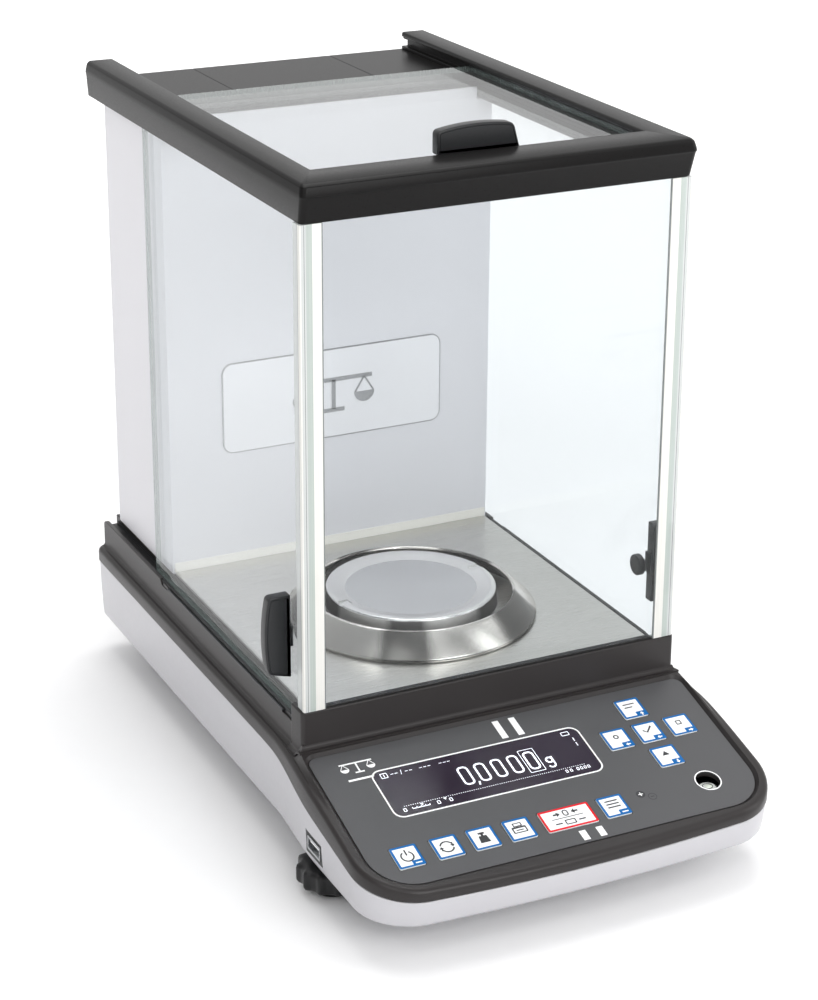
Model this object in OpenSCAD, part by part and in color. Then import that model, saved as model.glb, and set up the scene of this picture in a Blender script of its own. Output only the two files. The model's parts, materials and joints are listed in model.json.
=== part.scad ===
// Analytical balance: weighing chamber with three sliding doors on a base with a sloping control panel.
// Frame: +Z up, front towards -Y, origin on the floor at the middle of the footprint. Millimetres.

/* [Base] */
// Width of the base beside the weighing chamber
body_w = 213; // [211:0.5:216]
// Width of the base at the control panel
panel_w = 221; // [219:0.5:224]
// Depth of the base
body_d = 390; // [388:1:396]
// Height of the tray's underside above the floor
tray_z = 19.5; // [19:0.5:21]
// Height of the seam between tray and cover, beside the chamber
seam_z = 54.5; // [53:0.5:56]
// Height of the seam at the front edge
seam_front_z = 33; // [32:0.5:34]
// Wall thickness of the mouldings
wall = 2.5; // [2:0.25:3]

/* [Control panel] */
// Tilt of the panel towards the user, in degrees
panel_tilt = 15.7; // [15:0.1:17]
// Size of a square key
key_size = 13.4; // [12:0.1:14]
// Gap around each key
key_gap = 0.4; // [0.35:0.05:0.6]
// Width of the display window
window_w = 111; // [105:1:112]
// Height of the display window
window_h = 31.5; // [30:0.5:33]

/* [Weighing chamber] */
// Height of the hood's top face
hood_z = 345; // [340:1:350]
// Height of the hood's side rails
hood_h = 19; // [18:0.5:20]
// Height of the riser in front of the chamber
riser_z = 86.6; // [86:0.2:88]
// Height of the steel floor plate
floor_z = 82.1; // [81.5:0.1:83]
// Glass thickness of the doors
glass_t = 3; // [2.5:0.5:3]
// Depth of the column behind the chamber
tower_d = 88.6; // [85:0.1:90]

/* [Weighing pan] */
// Radius of the pan
pan_r = 45.3; // [44:0.1:46]
// Height of the pan's top face
pan_z = 96.6; // [96:0.1:98]
// Radius of the draught ring at its foot
ring_r = 65.6; // [64:0.1:67]
// Radius of the draught ring's opening
ring_hole_r = 52.6; // [51:0.1:54]

/* [Hidden] */
$fn = 64;
half_d = body_d / 2;
panel_y = -93;
panel_z = 65.3;
ledge_z = 63;
ledge_x = 102;
deck_z = 80.7;
riser_x = 103;
riser_y = -93.3;
riser_t = 4.2;
floor_front_y = riser_y + riser_t + 1.4;
floor_t = 1.3;
flare_y = [-60, -120];
corner_r = 30;
bow = 3;
bed_depth = 2;
foil_t = 0.6;
foil_top = 5;
foil_len = 91;
foil_half = 103.5;
foil_r = 22;
foil_rear_r = 5;

// centres on the panel: x, and the distance down the slope from its top edge
window_pos = [-22, 38.3];
level_pos = [78.7, 76.5];
level_r = 6.1;
row_s = 78.4;
cluster = [67.7, 37.3];
cluster_pitch = 18;
tare_size = [27, key_size];
small_key_size = [6.5, key_size];
KEYS = [
  ["key_power", [-84, row_s], [key_size, key_size]],
  ["key_resolution", [-63.7, row_s], [key_size, key_size]],
  ["key_adjust", [-44.8, row_s], [key_size, key_size]],
  ["key_print", [-25.9, row_s], [key_size, key_size]],
  ["key_zero", [0, row_s], tare_size],
  ["key_menu", [24.9, row_s], [key_size, key_size]],
  ["key_up", cluster - [0, cluster_pitch], [key_size, key_size]],
  ["key_left", cluster - [cluster_pitch, 0], [key_size, key_size]],
  ["key_enter", cluster, [key_size, key_size]],
  ["key_right", cluster + [cluster_pitch, 0], [key_size, key_size]],
  ["key_down", cluster + [0, cluster_pitch], [key_size, key_size]]
];

tower_y = 97.4;
tower_x = 95.4;
tower_rear_y = tower_y + tower_d;
hood_rear_y = 191.5;
hood_bottom_z = hood_z - hood_h;
tower_top_z = hood_bottom_z - 0.1;
top_cover_z = hood_z - 12.6;
top_cover_y = tower_y + 0.2;
hood_x = [101.2, 102.4, 100.2];
hood_inner_x = 86.5;
hood_bar_y = -72;
crown_z = hood_z - 5.8;

side_glass_x = 95.9;
side_glass_y = [-88, 114.8];
side_glass_z = [77.2, 329.6];
top_glass_z = 337.6;
top_glass_y = [-74.5, 112];
top_glass_x = 89.5;
grip_y = -72;
grip_z = 118.7;
grip_len = 43;
grip_slant = 4;
grip_width = 13.5;
side_grip_foot = 1.2;
top_grip_foot = 2.7;
grip_t = 5.5;
top_grip_y = -66;

track_x = [94.6, 101.2];
track_z = 72;
track_y = riser_y + riser_t + 0.5;

foot_x = 95;
foot_y = -110;
rear_foot_x = 68;
rear_foot_y = 165;
knob_r = 18;
foot_screw_r = 4;
bush_r = 7;
fit_gap = 0.05;

jack_pos = [-70, 38];
serial_pos = [25, 38];
usb_rear_pos = [-25, 38];
side_usb_y = -120;

cal_x = 52;
cal_y = 20;

DARK = "#3d3b3c";
BLACK = "#1d1c1c";
SILVER = "#dcdbdd";
WHITE = "#e4e2e5";
STEEL = "#b9b9b7";
CLEAR = [0.8, 0.9, 0.88, 0.35];

// smooth step from 0 to 1
function ease(t) = t <= 0 ? 0 : t >= 1 ? 1 : t * t * (3 - 2 * t);
// half width of the base at a depth y, narrower beside the chamber than at the panel
function half_w(y, inset) =
  body_w / 2 + (panel_w - body_w) / 2 * ease((flare_y[0] - y) / (flare_y[0] - flare_y[1])) - inset;
// height of the seam between tray and cover at a depth y
function seam(y) =
  let (drop_y = -70, slope = (seam_z - seam_front_z) / (half_d + drop_y))
  seam_z - slope * ln(1 + exp((drop_y - y) / 8)) * 8;

// outline of the base in plan, drawn counter-clockwise, with an even inset
module base_plan(inset) {
  r = corner_r - inset;
  front = -half_d + bow + inset;
  rear = half_d - inset;
  cx = panel_w / 2 - corner_r;
  cy = -half_d + bow + corner_r;
  rr = 6;
  right = concat(
    [for (i = [0:8]) let (t = i / 8) [cx * t, front - bow * (1 - t * t)]],
    [for (a = [-81:9:-9]) [cx + r * cos(a), cy + r * sin(a)]],
    [for (y = [cy:8:-56]) [half_w(y, inset), y]],
    [[half_w(0, inset), -40], [half_w(0, inset), rear - rr]],
    [for (a = [15:15:90]) [half_w(0, inset) - rr + rr * cos(a), rear - rr + rr * sin(a)]]);
  left = [for (i = [len(right) - 1:-1:1]) [-right[i].x, right[i].y]];
  polygon(concat(right, left));
}

// prism across the whole width with a side-view outline of [y, z] points
module side_prism(points, half_x) {
  translate([-half_x, 0, 0])
    rotate([90, 0, 90])
      linear_extrude(2 * half_x) polygon(points);
}

// seam line from front to rear, shifted by dz
function seam_line(dz) = [for (y = [-half_d - 5:10:-35]) [y, seam(y) + dz]];

module on_panel() {
  translate([0, panel_y, panel_z]) rotate([panel_tilt, 0, 0]) children();
}

// outline of the panel's bed below its rear edge, with wide corners at the front and tight ones at the rear
module panel_outline(inset) {
  width = 2 * (foil_half - inset);
  translate([0, -foil_len / 2]) rounded([width, foil_len - 2 * inset], foil_r - inset);
  translate([0, -foil_len / 4 - inset / 2]) rounded([width, foil_len / 2 - inset], foil_rear_r - inset);
}

module panel_slot(pos, size, r, low, high) {
  translate([pos.x, -pos.y, low])
    linear_extrude(high - low) rounded(size, r);
}

// rectangle with true arc corners
module rounded(size, r) {
  difference() {
    square(size, center = true);
    for (sx = [-1, 1], sy = [-1, 1])
      translate([sx * size.x / 2, sy * size.y / 2])
        difference() {
          square(2 * r, center = true);
          translate([-sx * r, -sy * r]) circle(r);
        }
  }
}

module rounded_box(size, r, z) {
  translate([0, 0, z]) linear_extrude(size.z) rounded([size.x, size.y], r);
}

// ---- base -------------------------------------------------------------------------------------

module base_tray() color(SILVER) difference() {
  intersection() {
    translate([0, 0, tray_z]) linear_extrude(60) base_plan(0.6);
    side_prism(concat([[half_d + 5, tray_z - 1], [-half_d - 5, tray_z - 1]],
      seam_line(0), [[half_d + 5, seam_z]]), 130);
  }
  translate([0, 0, tray_z + wall]) linear_extrude(60) base_plan(0.6 + wall);
  for (sx = [-1, 1]) {
    translate([sx * foot_x, foot_y, tray_z - 1]) cylinder(r = bush_r + 1.5, h = 10);
    translate([sx * rear_foot_x, rear_foot_y, tray_z - 1]) cylinder(r = 3.05, h = 10);
  }
  for (p = screw_places) translate([p.x, p.y, tray_z - 1]) cylinder(r = 1.75, h = 10);
  rear_opening(jack_pos) cylinder(r = 5.1, h = 12);
  rear_opening(serial_pos) linear_extrude(12) rounded([31.2, 12.8], 2);
  rear_opening(usb_rear_pos) linear_extrude(12) rounded([12.4, 11.2], 1);
  translate([-120, side_usb_y, side_usb_z]) rotate([90, 0, 90]) linear_extrude(20) rounded([14.6, 7.6], 0.8);
}

side_usb_z = tray_z + 10.5;
screw_places = [[-60, -150], [60, -150], [-60, 150], [60, 150]];

module rear_opening(pos) {
  translate([pos.x, half_d + 1, pos.y]) rotate([90, 0, 0]) children();
}

module chassis_plate() color("#a9abae") difference() {
  union() {
    rounded_box([150, 330, 5], 12, tray_z + wall + 0.5);
    for (sx = [-1, 1])
      translate([sx * 82, foot_y, tray_z + wall + 3]) cube([36, 34, 5], center = true);
    for (x = [-50, 0, 50]) translate([x, -20, tray_z + wall + 5.5]) rib(250);
  }
  for (sx = [-1, 1]) translate([sx * foot_x, foot_y, 15]) cylinder(r = bush_r, h = 20);
  for (p = cell_screw_places) translate([p.x, p.y, 20]) cylinder(r = 2, h = 20);
  for (p = screw_places) translate([p.x, p.y, 15]) cylinder(r = 1.5, h = 20);
  translate([0, 35, 0]) rounded_box([52, 118, 12], 3, tray_z + wall + 5.5);
  translate([cal_x, cal_y, tray_z + wall + 5.5]) cylinder(r = 10, h = 12);
}

module rib(length) translate([-1.5, -length / 2, -0.5]) cube([3, length, 4]);

cell_screw_places = [[-16, 50], [16, 50], [-16, 80], [16, 80]];

// the cover's outer shape at inset 0, or its cavity, which runs deeper under the panel's bed
module cover_envelope(inset, low) {
  drop = inset > 0 ? inset + bed_depth : 0;
  panel_front_y = panel_y - 100 * cos(panel_tilt);
  panel_front_z = panel_z - 100 * sin(panel_tilt) + bed_depth;
  intersection() {
    translate([0, 0, 20]) linear_extrude(80) base_plan(inset);
    side_prism(concat(seam_line(low), [
      [half_d + 5, seam_z + low], [half_d + 5, ledge_z - inset], [panel_y + 6, ledge_z - inset],
      [panel_y, panel_z + bed_depth - drop], [panel_front_y, panel_front_z - drop],
      [-half_d + inset, panel_front_z - drop - 2.5], [-half_d - 5, panel_front_z - drop - 2.5]]), 130);
  }
}

module base_cover() color(DARK) difference() {
  union() {
    difference() {
      cover_envelope(0, 0.1);
      cover_envelope(wall, -1);
      translate([-ledge_x + wall, panel_y + 3, 40]) cube([2 * (ledge_x - wall), half_d - panel_y - 8, 60]);
    }
    riser_shell();
  }
  on_panel() {
    translate([0, -foil_top, 0]) linear_extrude(20) panel_outline(0);
    panel_slot(window_pos, [window_w - 3, window_h - 3], 3, -8, 2);
    translate([level_pos.x, -level_pos.y, -12]) cylinder(r = level_r, h = 20);
    for (k = KEYS) panel_slot(k[1], k[2] + [2, 2] * key_gap, 1.2, -8, 2);
  }
  for (sx = [-1, 1])
    translate([sx > 0 ? track_x[0] : -track_x[1], track_y, track_z])
      cube([track_x[1] - track_x[0], 290, 20]);
  translate([0, 0, 60]) cylinder(r = 14, h = 30);
  translate([-tower_x + 8, tower_y + 6, 60]) cube([2 * (tower_x - 8), tower_d - 14, 30]);
}

// walls and deck that carry the floor plate, the door tracks and the column
module riser_shell() {
  difference() {
    union() {
      translate([-riser_x, riser_y, seam_z + 2]) cube([2 * riser_x, riser_t, riser_z - seam_z - 2]);
      translate([-ledge_x, riser_y, seam_z + 2]) cube([2 * ledge_x, half_d - 3 - riser_y, deck_z - seam_z - 2]);
    }
    translate([-track_x[0] + wall, riser_y + wall, 40])
      cube([2 * (track_x[0] - wall), half_d - 3 - riser_y - 2 * wall, deck_z - 40 - wall]);
    for (sx = [-1, 1])
      translate([sx * (track_x[0] + 2.2) - 2.4, riser_y + wall, 40])
        cube([4.8, half_d - 3 - riser_y - 2 * wall, track_z - 40 - wall]);
  }
}

module door_tracks() color(BLACK) for (sx = [-1, 1]) scale_x(sx) {
  difference() {
    translate([track_x[0] + 0.1, track_y + 0.1, track_z + 0.1]) cube([6.4, 277, 5.9]);
    translate([side_glass_x - 0.5, riser_y, side_glass_z[0] - 0.6]) cube([glass_t + 1, 300, 10]);
  }
}

module scale_x(s) {
  if (s > 0) children();
  else mirror([1, 0, 0]) children();
}

module floor_plate() color(STEEL) difference() {
  translate([-94.4, floor_front_y, floor_z - floor_t])
    cube([188.8, tower_y - 0.6 - floor_front_y, floor_t]);
  translate([0, 0, floor_z - 5]) cylinder(r = 12, h = 10);
}

module floor_gasket() color(BLACK)
  translate([-94.4, floor_front_y - 1.3, deck_z + 0.1]) cube([188.8, 1.2, 3.2]);

// ---- control panel ----------------------------------------------------------------------------

module panel_foil() color("#5a5a5c") on_panel() difference() {
  translate([0, -foil_top, 0.02]) linear_extrude(foil_t) panel_outline(0.3);
  panel_slot(window_pos, [window_w, window_h], 4.5, -1, 2);
  translate([level_pos.x, -level_pos.y, -1]) cylinder(r = level_r, h = 4);
  for (k = KEYS) panel_slot(k[1], k[2] + [2, 2] * key_gap, 1.2, -1, 2);
}

module display_window() color([0.1, 0.08, 0.12, 0.8]) on_panel()
  panel_slot(window_pos, [window_w - 0.2, window_h - 0.2], 4.4, 0.04, foil_t + 0.1);

module display_module() color("#20242a") on_panel() {
  panel_slot(window_pos, [window_w - 5, window_h - 5], 1, -9, -2.4);
  panel_slot(window_pos, [window_w - 8, window_h - 8], 1, -2.4, -1);
}

module keypad_board() color("#2c5c3a") on_panel() difference() {
  union() {
    panel_slot([-11, row_s], [170, 17], 2, -4.6, -3);
    panel_slot(cluster, [56, 56], 2, -4.6, -3);
    for (k = KEYS) translate([k[1].x, -k[1].y, -3]) cylinder(r = 3, h = 1);
  }
  translate([level_pos.x, -level_pos.y, -12]) cylinder(r = level_r + 4, h = 20);
}

// one key cap: a low plate through the foil with a plunger foot below
module key_cap(index) color("#f2f3f4") on_panel() {
  k = KEYS[index];
  panel_slot(k[1], k[2], 1, -0.9, foil_t + 0.45);
  translate([k[1].x, -k[1].y, -1.3]) cylinder(r = 2, h = 0.5);
}

level_centre = [level_pos.x, panel_y - level_pos.y * cos(panel_tilt),
  panel_z - level_pos.y * sin(panel_tilt)];

module level_vial() color([0.75, 0.85, 0.3, 0.5])
  translate(level_centre + [0, 0, -12]) cylinder(r = level_r - 0.6, h = 6);

module level_holder() color("#55565a") translate(level_centre + [0, 0, -14]) difference() {
  cylinder(r = level_r + 1.4, h = 9);
  translate([0, 0, 1.98]) cylinder(r = level_r - 0.58, h = 10);
}

// ---- chamber ----------------------------------------------------------------------------------

module tower_front_wall() color(WHITE) {
  translate([-tower_x, tower_y, deck_z + 0.1]) cube([2 * tower_x, 2.5, tower_top_z - deck_z - 0.1]);
  translate([-hood_inner_x + 0.3, tower_y, tower_top_z - 5])
    cube([2 * hood_inner_x - 0.6, 2.5, top_cover_z - tower_top_z + 4.9]);
}

module tower_rear_cover() color(WHITE) difference() {
  translate([-tower_x, tower_y + 2.6, deck_z + 0.1]) cube([2 * tower_x, tower_d - 2.6, tower_top_z - deck_z - 0.1]);
  translate([-tower_x + wall, tower_y, 60]) cube([2 * (tower_x - wall), tower_d - wall, 300]);
}

module blank_plate() color("#dfdfe1")
  translate([0, tower_y - 0.02, 171]) rotate([90, 0, 0]) linear_extrude(0.8) rounded([130, 51], 6);

module tower_foot_strip() color("#e6e2d8")
  translate([-94.4, tower_y - 0.58, floor_z + 0.05]) cube([188.8, 0.56, 5]);

module top_rear_cover() color(DARK) difference() {
  translate([-hood_inner_x + 0.1, top_cover_y, top_cover_z])
    cube([2 * hood_inner_x - 0.2, hood_rear_y - top_cover_y, 3]);
  for (y = [130, 160]) translate([-70, y, top_cover_z + 2.6]) cube([140, 0.8, 2]);
}

// section of a hood rail in [x, z], mirrored for the left side
rail_section = [
  [hood_inner_x, hood_bottom_z + 1], [hood_inner_x + 1, hood_bottom_z], [hood_x[0], hood_bottom_z],
  [hood_x[1], crown_z], [hood_x[2] + 1.2, hood_z - 1.2], [hood_x[2] - 0.5, hood_z],
  [hood_inner_x + 1.5, hood_z], [hood_inner_x, hood_z - 1.5]
];

module hood_rail() {
  translate([0, hood_rear_y, 0]) rotate([90, 0, 0])
    linear_extrude(hood_rear_y - riser_y) polygon(rail_section);
}

module top_frame() color(DARK) difference() {
  union() {
    for (sx = [-1, 1]) scale_x(sx) hood_rail();
    side_prism([
      [riser_y, hood_bottom_z], [hood_bar_y - 1, hood_bottom_z], [hood_bar_y, hood_bottom_z + 1],
      [hood_bar_y, hood_z - 1.5], [hood_bar_y - 1.5, hood_z], [riser_y - 0.5, hood_z],
      [riser_y - 2.9, hood_z - 1.2], [riser_y - 4.1, crown_z]], hood_x[0]);
    translate([-hood_x[0], tower_rear_y - 4, hood_bottom_z + 0.1])
      cube([2 * hood_x[0], 3, top_cover_z - hood_bottom_z - 0.2]);
  }
  for (sx = [-1, 1]) {
    scale_x(sx) translate([side_glass_x - 0.5, side_glass_y[0] - 1, hood_bottom_z - 1])
      cube([glass_t + 1, 400, side_glass_z[1] - hood_bottom_z + 1.6]);
    scale_x(sx) translate([hood_inner_x - 1, hood_bar_y - 4, top_glass_z - 0.5])
      cube([top_glass_x - hood_inner_x + 1.5, 400, glass_t + 1]);
  }
  translate([-top_glass_x - 0.5, top_glass_y[0] - 0.6, top_glass_z - 0.5])
    cube([2 * top_glass_x + 1, 20, glass_t + 1]);
  translate([-94.3, riser_y + 0.9, hood_bottom_z - 1]) cube([188.6, glass_t + 0.3, 3.2]);
}

module front_glass() color(CLEAR)
  translate([-94, riser_y + 1, riser_z + 0.1]) cube([188, glass_t, hood_bottom_z + 2 - riser_z - 0.1]);

module corner_profiles() color([0.9, 0.94, 0.93, 0.5]) for (sx = [-1, 1]) scale_x(sx)
  translate([0, 0, riser_z + 0.1]) linear_extrude(hood_bottom_z - riser_z - 0.2) difference() {
    translate([90.4, riser_y]) square([11.4, 7.4]);
    translate([90, riser_y + 1]) square([4, 10]);
    translate([92.4, riser_y + 4.2]) square([7.2, 4]);
  }

module side_door_glass() color(CLEAR) difference() {
  translate([side_glass_x, side_glass_y[0], side_glass_z[0]])
    cube([glass_t, side_glass_y[1] - side_glass_y[0], side_glass_z[1] - side_glass_z[0]]);
  translate([side_glass_x - 5, grip_y, grip_z]) rotate([0, 90, 0]) cylinder(r = 3, h = 20);
}

// finger grip: a flat paddle with an arched outer edge and one slanting end, on a foot that rises from z = 0
module paddle(foot) {
  half = grip_len / 2;
  out = foot + grip_width;
  rotate([90, 0, 0]) translate([0, 0, -grip_t / 2]) linear_extrude(grip_t) intersection() {
    polygon([[-half, foot], [half, foot], [half - grip_slant, out + 1], [-half, out + 1]]);
    translate([0, out - 105]) circle(105, $fn = 180);
  }
  linear_extrude(foot + 0.5) rounded([11, grip_t - 1], 1);
}

module side_door_grip() color(BLACK) {
  translate([side_glass_x + glass_t + 0.02, grip_y, grip_z]) rotate([0, 90, 0]) paddle(side_grip_foot);
  translate([side_glass_x + 0.1, grip_y, grip_z]) rotate([0, 90, 0]) cylinder(r = 2.95, h = 4);
}

module side_door_knob() color("#4a4849") translate([side_glass_x - 4.5, grip_y, grip_z]) rotate([0, 90, 0]) {
  cylinder(r = 5.5, h = 3.3);
  translate([0, 0, 3.25]) cylinder(r = 3.6, h = 1.2);
}

module top_door_glass() color(CLEAR) difference() {
  translate([-top_glass_x, top_glass_y[0], top_glass_z])
    cube([2 * top_glass_x, top_glass_y[1] - top_glass_y[0], glass_t]);
  translate([0, top_grip_y, top_glass_z - 1]) cylinder(r = 3, h = 10);
}

module top_door_grip() color(BLACK) translate([0, top_grip_y, top_glass_z + glass_t + 0.02]) {
  paddle(top_grip_foot);
  translate([0, 0, -3.1]) cylinder(r = 2.95, h = 3.5);
}

// ---- weighing parts ---------------------------------------------------------------------------

module weighing_pan() color(STEEL) rotate_extrude($fn = 128) polygon([
  [0, pan_z - 1.6], [5.05, pan_z - 1.6], [5.05, pan_z - 9], [8, pan_z - 9], [8, pan_z - 2.4],
  [pan_r - 1.2, pan_z - 2.4], [pan_r - 1.2, pan_z - 8.6], [pan_r, pan_z - 8.6],
  [pan_r, pan_z - 0.8], [pan_r - 0.8, pan_z], [pan_r - 10.3, pan_z], [pan_r - 11.3, pan_z - 0.5],
  [0, pan_z - 0.5]]);

module draught_ring() color(STEEL) rotate_extrude($fn = 128) polygon([
  [ring_r - 2, floor_z + 0.35], [ring_r, floor_z + 0.35], [ring_r, floor_z + 2],
  [ring_hole_r + 1, pan_z - 1.6], [ring_hole_r, pan_z - 1.6], [ring_hole_r, pan_z - 3],
  [ring_r - 2, floor_z + 1.4]]);

module load_cell() color("#c3c5c8") difference() {
  translate([-22, -18, tray_z + wall + 5.6]) cube([44, 108, 32]);
  translate([-30, -2, 36]) cube([60, 66, 3]);
  translate([-30, -2, 50]) cube([60, 66, 3]);
  translate([-30, 10, 39]) cube([60, 40, 11]);
  translate([-30, -20, 27]) cube([60, 62, 6]);
  for (p = cell_screw_places) translate([p.x, p.y, 20]) cylinder(r = 2, h = 50);
}

module cell_screws() color("#8d8f93") for (p = cell_screw_places) {
  translate([p.x, p.y, tray_z + wall + 1.5]) cylinder(r = 1.98, h = 38);
  translate([p.x, p.y, tray_z + wall + 37.7]) cylinder(r = 3.5, h = 4, $fn = 32);
}

module pan_stem() color("#b5a36a") {
  translate([0, -8, 59.65]) cylinder(r = 8, h = 4);
  translate([0, -4, 61.6]) cube([12, 14, 4], center = true);
  translate([0, 0, 59.7]) cylinder(r = 7, h = 26);
  translate([0, 0, 85.6]) cylinder(r = 5, h = pan_z - 1.62 - 85.6);
}

module calibration_motor() color("#6f7276") {
  translate([cal_x, cal_y, tray_z + wall + 5.6]) cylinder(r = 9, h = 20);
  translate([cal_x, cal_y, tray_z + wall + 25.6]) cylinder(r = 3.5, h = 1.6);
}

module calibration_screw() color("#b8b9bb")
  translate([cal_x, cal_y, tray_z + wall + 27.6]) cylinder(r = 1.5, h = 25);

module calibration_weight() color("#caa84e") difference() {
  union() {
    translate([cal_x - 5, cal_y - 5, 58]) cube([10, 10, 6]);
    translate([cal_x - 20, cal_y - 3, 59]) cube([17, 6, 4]);
    translate([cal_x - 18, cal_y, 52]) cylinder(r = 8, h = 15);
  }
  translate([cal_x, cal_y, 50]) cylinder(r = 1.5 + fit_gap, h = 30);
}

// ---- electronics ------------------------------------------------------------------------------

module main_board() color("#24573a")
  translate([-85, 118, 33.4]) cube([170, 56, 1.6]);

// barrel socket with its contact pin
module power_jack() color(BLACK) rear_opening(jack_pos) {
  difference() {
    union() {
      translate([0, 0, 1.5]) cylinder(r = 5, h = 12);
      translate([-4.5, -2.9, 5]) cube([9, 7, 16]);
    }
    translate([0, 0, -1]) cylinder(r = 2.75, h = 11.5);
  }
}

module serial_port() color("#9c9fa3") rear_opening(serial_pos) difference() {
  union() {
    translate([0, 0, 1.5]) linear_extrude(12) rounded([31, 12.5], 2);
    translate([-14, -2.9, 12]) cube([28, 7, 10]);
  }
  translate([0, 0, -1]) linear_extrude(8.5) polygon([[-8.4, 4.1], [8.4, 4.1], [7, -4.1], [-7, -4.1]]);
}

module usb_rear_port() color("#9c9fa3") rear_opening(usb_rear_pos) difference() {
  translate([0, 0, 1.5]) linear_extrude(18) rounded([12.1, 10.9], 1);
  translate([0, 0, -1]) linear_extrude(11) rounded([8.6, 7.8], 0.6);
}

module usb_side_port() color("#8f9296") translate([-half_w(side_usb_y, 0.6), side_usb_y, side_usb_z])
  rotate([90, 0, 90]) difference() {
    translate([0, 0, 0.6]) linear_extrude(7) rounded([14.2, 7.2], 0.6);
    translate([0, 0, -1]) linear_extrude(6.4) square([12.4, 5], center = true);
  }

// ---- feet and fasteners -----------------------------------------------------------------------

module rear_feet() color(BLACK) for (sx = [-1, 1]) translate([sx * rear_foot_x, rear_foot_y, 0]) {
  cylinder(r = 11, h = tray_z - 0.02);
  translate([0, 0, tray_z - 0.1]) cylinder(r = 3, h = 2.7);
}

module foot_bushes() color("#b08d3e") for (sx = [-1, 1])
  translate([sx * foot_x, foot_y, tray_z + wall + 0.4]) difference() {
    cylinder(r = bush_r - 0.02, h = 12);
    translate([0, 0, -1]) cylinder(r = foot_screw_r + fit_gap, h = 20);
  }

module foot_pad() color(BLACK) difference() {
  cylinder(r = 10, h = 4);
  translate([0, 0, 2.2]) cylinder(r = 5.2, h = 5);
}

// thumb wheel with lobes and its threaded spindle
module foot_knob() color(BLACK) {
  lobes = 12;
  difference() {
    translate([0, 0, 4.4]) cylinder(r = knob_r, h = 10.4);
    for (i = [0:lobes - 1])
      rotate(i * 360 / lobes) translate([knob_r + 1.4, 0, 4]) cylinder(r = 3.2, h = 12);
  }
  translate([0, 0, 2.6]) cylinder(r = foot_screw_r, h = 33);
}

module tray_screws() color("#8d8f93") for (p = screw_places) translate([p.x, p.y, tray_z - 0.02]) {
  translate([0, 0, -1.6]) cylinder(r = 3, h = 1.6, $fn = 32);
  cylinder(r = 1.48, h = 7);
}

base_tray();
chassis_plate();
base_cover();
panel_foil();
display_window();
display_module();
keypad_board();
level_vial();
level_holder();
door_tracks();
floor_plate();
floor_gasket();
tower_front_wall();
tower_rear_cover();
blank_plate();
tower_foot_strip();
top_rear_cover();
top_frame();
front_glass();
corner_profiles();
load_cell();
pan_stem();
main_board();
power_jack();
serial_port();
usb_rear_port();
usb_side_port();
calibration_motor();
rear_feet();
foot_bushes();
tray_screws();
cell_screws();
mirror([1, 0, 0]) side_door_glass();  // left_door_glass
mirror([1, 0, 0]) side_door_grip();  // left_door_grip
mirror([1, 0, 0]) side_door_knob();  // left_door_knob
side_door_glass();  // right_door_glass
side_door_grip();  // right_door_grip
side_door_knob();  // right_door_knob
top_door_glass();
top_door_grip();
weighing_pan();
draught_ring();
key_cap(0);  // key_power
key_cap(1);  // key_resolution
key_cap(2);  // key_adjust
key_cap(3);  // key_print
key_cap(4);  // key_zero
key_cap(5);  // key_menu
key_cap(6);  // key_up
key_cap(7);  // key_left
key_cap(8);  // key_enter
key_cap(9);  // key_right
key_cap(10);  // key_down
translate([-foot_x, foot_y, 0]) foot_pad();  // left_foot_pad
translate([-foot_x, foot_y, 0]) foot_knob();  // left_foot_knob
translate([foot_x, foot_y, 0]) foot_pad();  // right_foot_pad
translate([foot_x, foot_y, 0]) foot_knob();  // right_foot_knob
calibration_screw();
calibration_weight();
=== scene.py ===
"""Looks of the analytical balance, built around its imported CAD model. Lengths are in millimetres."""
import json
import math

import bmesh
import bpy
from mathutils import Matrix, Quaternion, Vector
from mathutils.geometry import tessellate_polygon


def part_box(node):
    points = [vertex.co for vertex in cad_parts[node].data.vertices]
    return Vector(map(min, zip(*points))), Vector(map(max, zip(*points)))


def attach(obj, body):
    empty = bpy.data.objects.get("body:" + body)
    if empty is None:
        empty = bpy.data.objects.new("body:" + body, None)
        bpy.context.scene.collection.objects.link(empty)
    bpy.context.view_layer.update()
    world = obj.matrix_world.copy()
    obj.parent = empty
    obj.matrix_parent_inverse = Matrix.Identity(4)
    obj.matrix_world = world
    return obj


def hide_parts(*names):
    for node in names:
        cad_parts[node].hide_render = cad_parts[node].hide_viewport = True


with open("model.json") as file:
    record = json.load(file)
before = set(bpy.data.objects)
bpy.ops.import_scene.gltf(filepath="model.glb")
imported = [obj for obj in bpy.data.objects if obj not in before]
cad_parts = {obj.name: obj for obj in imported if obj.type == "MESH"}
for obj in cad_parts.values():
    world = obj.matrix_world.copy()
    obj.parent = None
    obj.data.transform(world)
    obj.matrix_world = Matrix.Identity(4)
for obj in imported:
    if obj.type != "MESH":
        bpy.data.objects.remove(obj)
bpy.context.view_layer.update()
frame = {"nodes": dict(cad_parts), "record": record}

MM = 0.001


def box_mm(node):
    """Lowest and highest corner of a CAD node in millimetres."""
    low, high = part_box(node)
    return Vector(low) / MM, Vector(high) / MM


# ---- driving dimensions, from the frame ----------------------------------------------------------

TRAY_LOW, TRAY_HIGH = box_mm("base_tray")
COVER_HIGH = box_mm("base_cover")[1]
FOIL_HIGH = box_mm("panel_foil")[1]
FLOOR_LOW, FLOOR_HIGH = box_mm("floor_plate")
HOOD_LOW, HOOD_HIGH = box_mm("top_frame")
WALL_LOW, WALL_HIGH = box_mm("tower_front_wall")
REAR_LOW, REAR_HIGH = box_mm("tower_rear_cover")
WINDOW_LOW, WINDOW_HIGH = box_mm("display_window")

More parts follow.
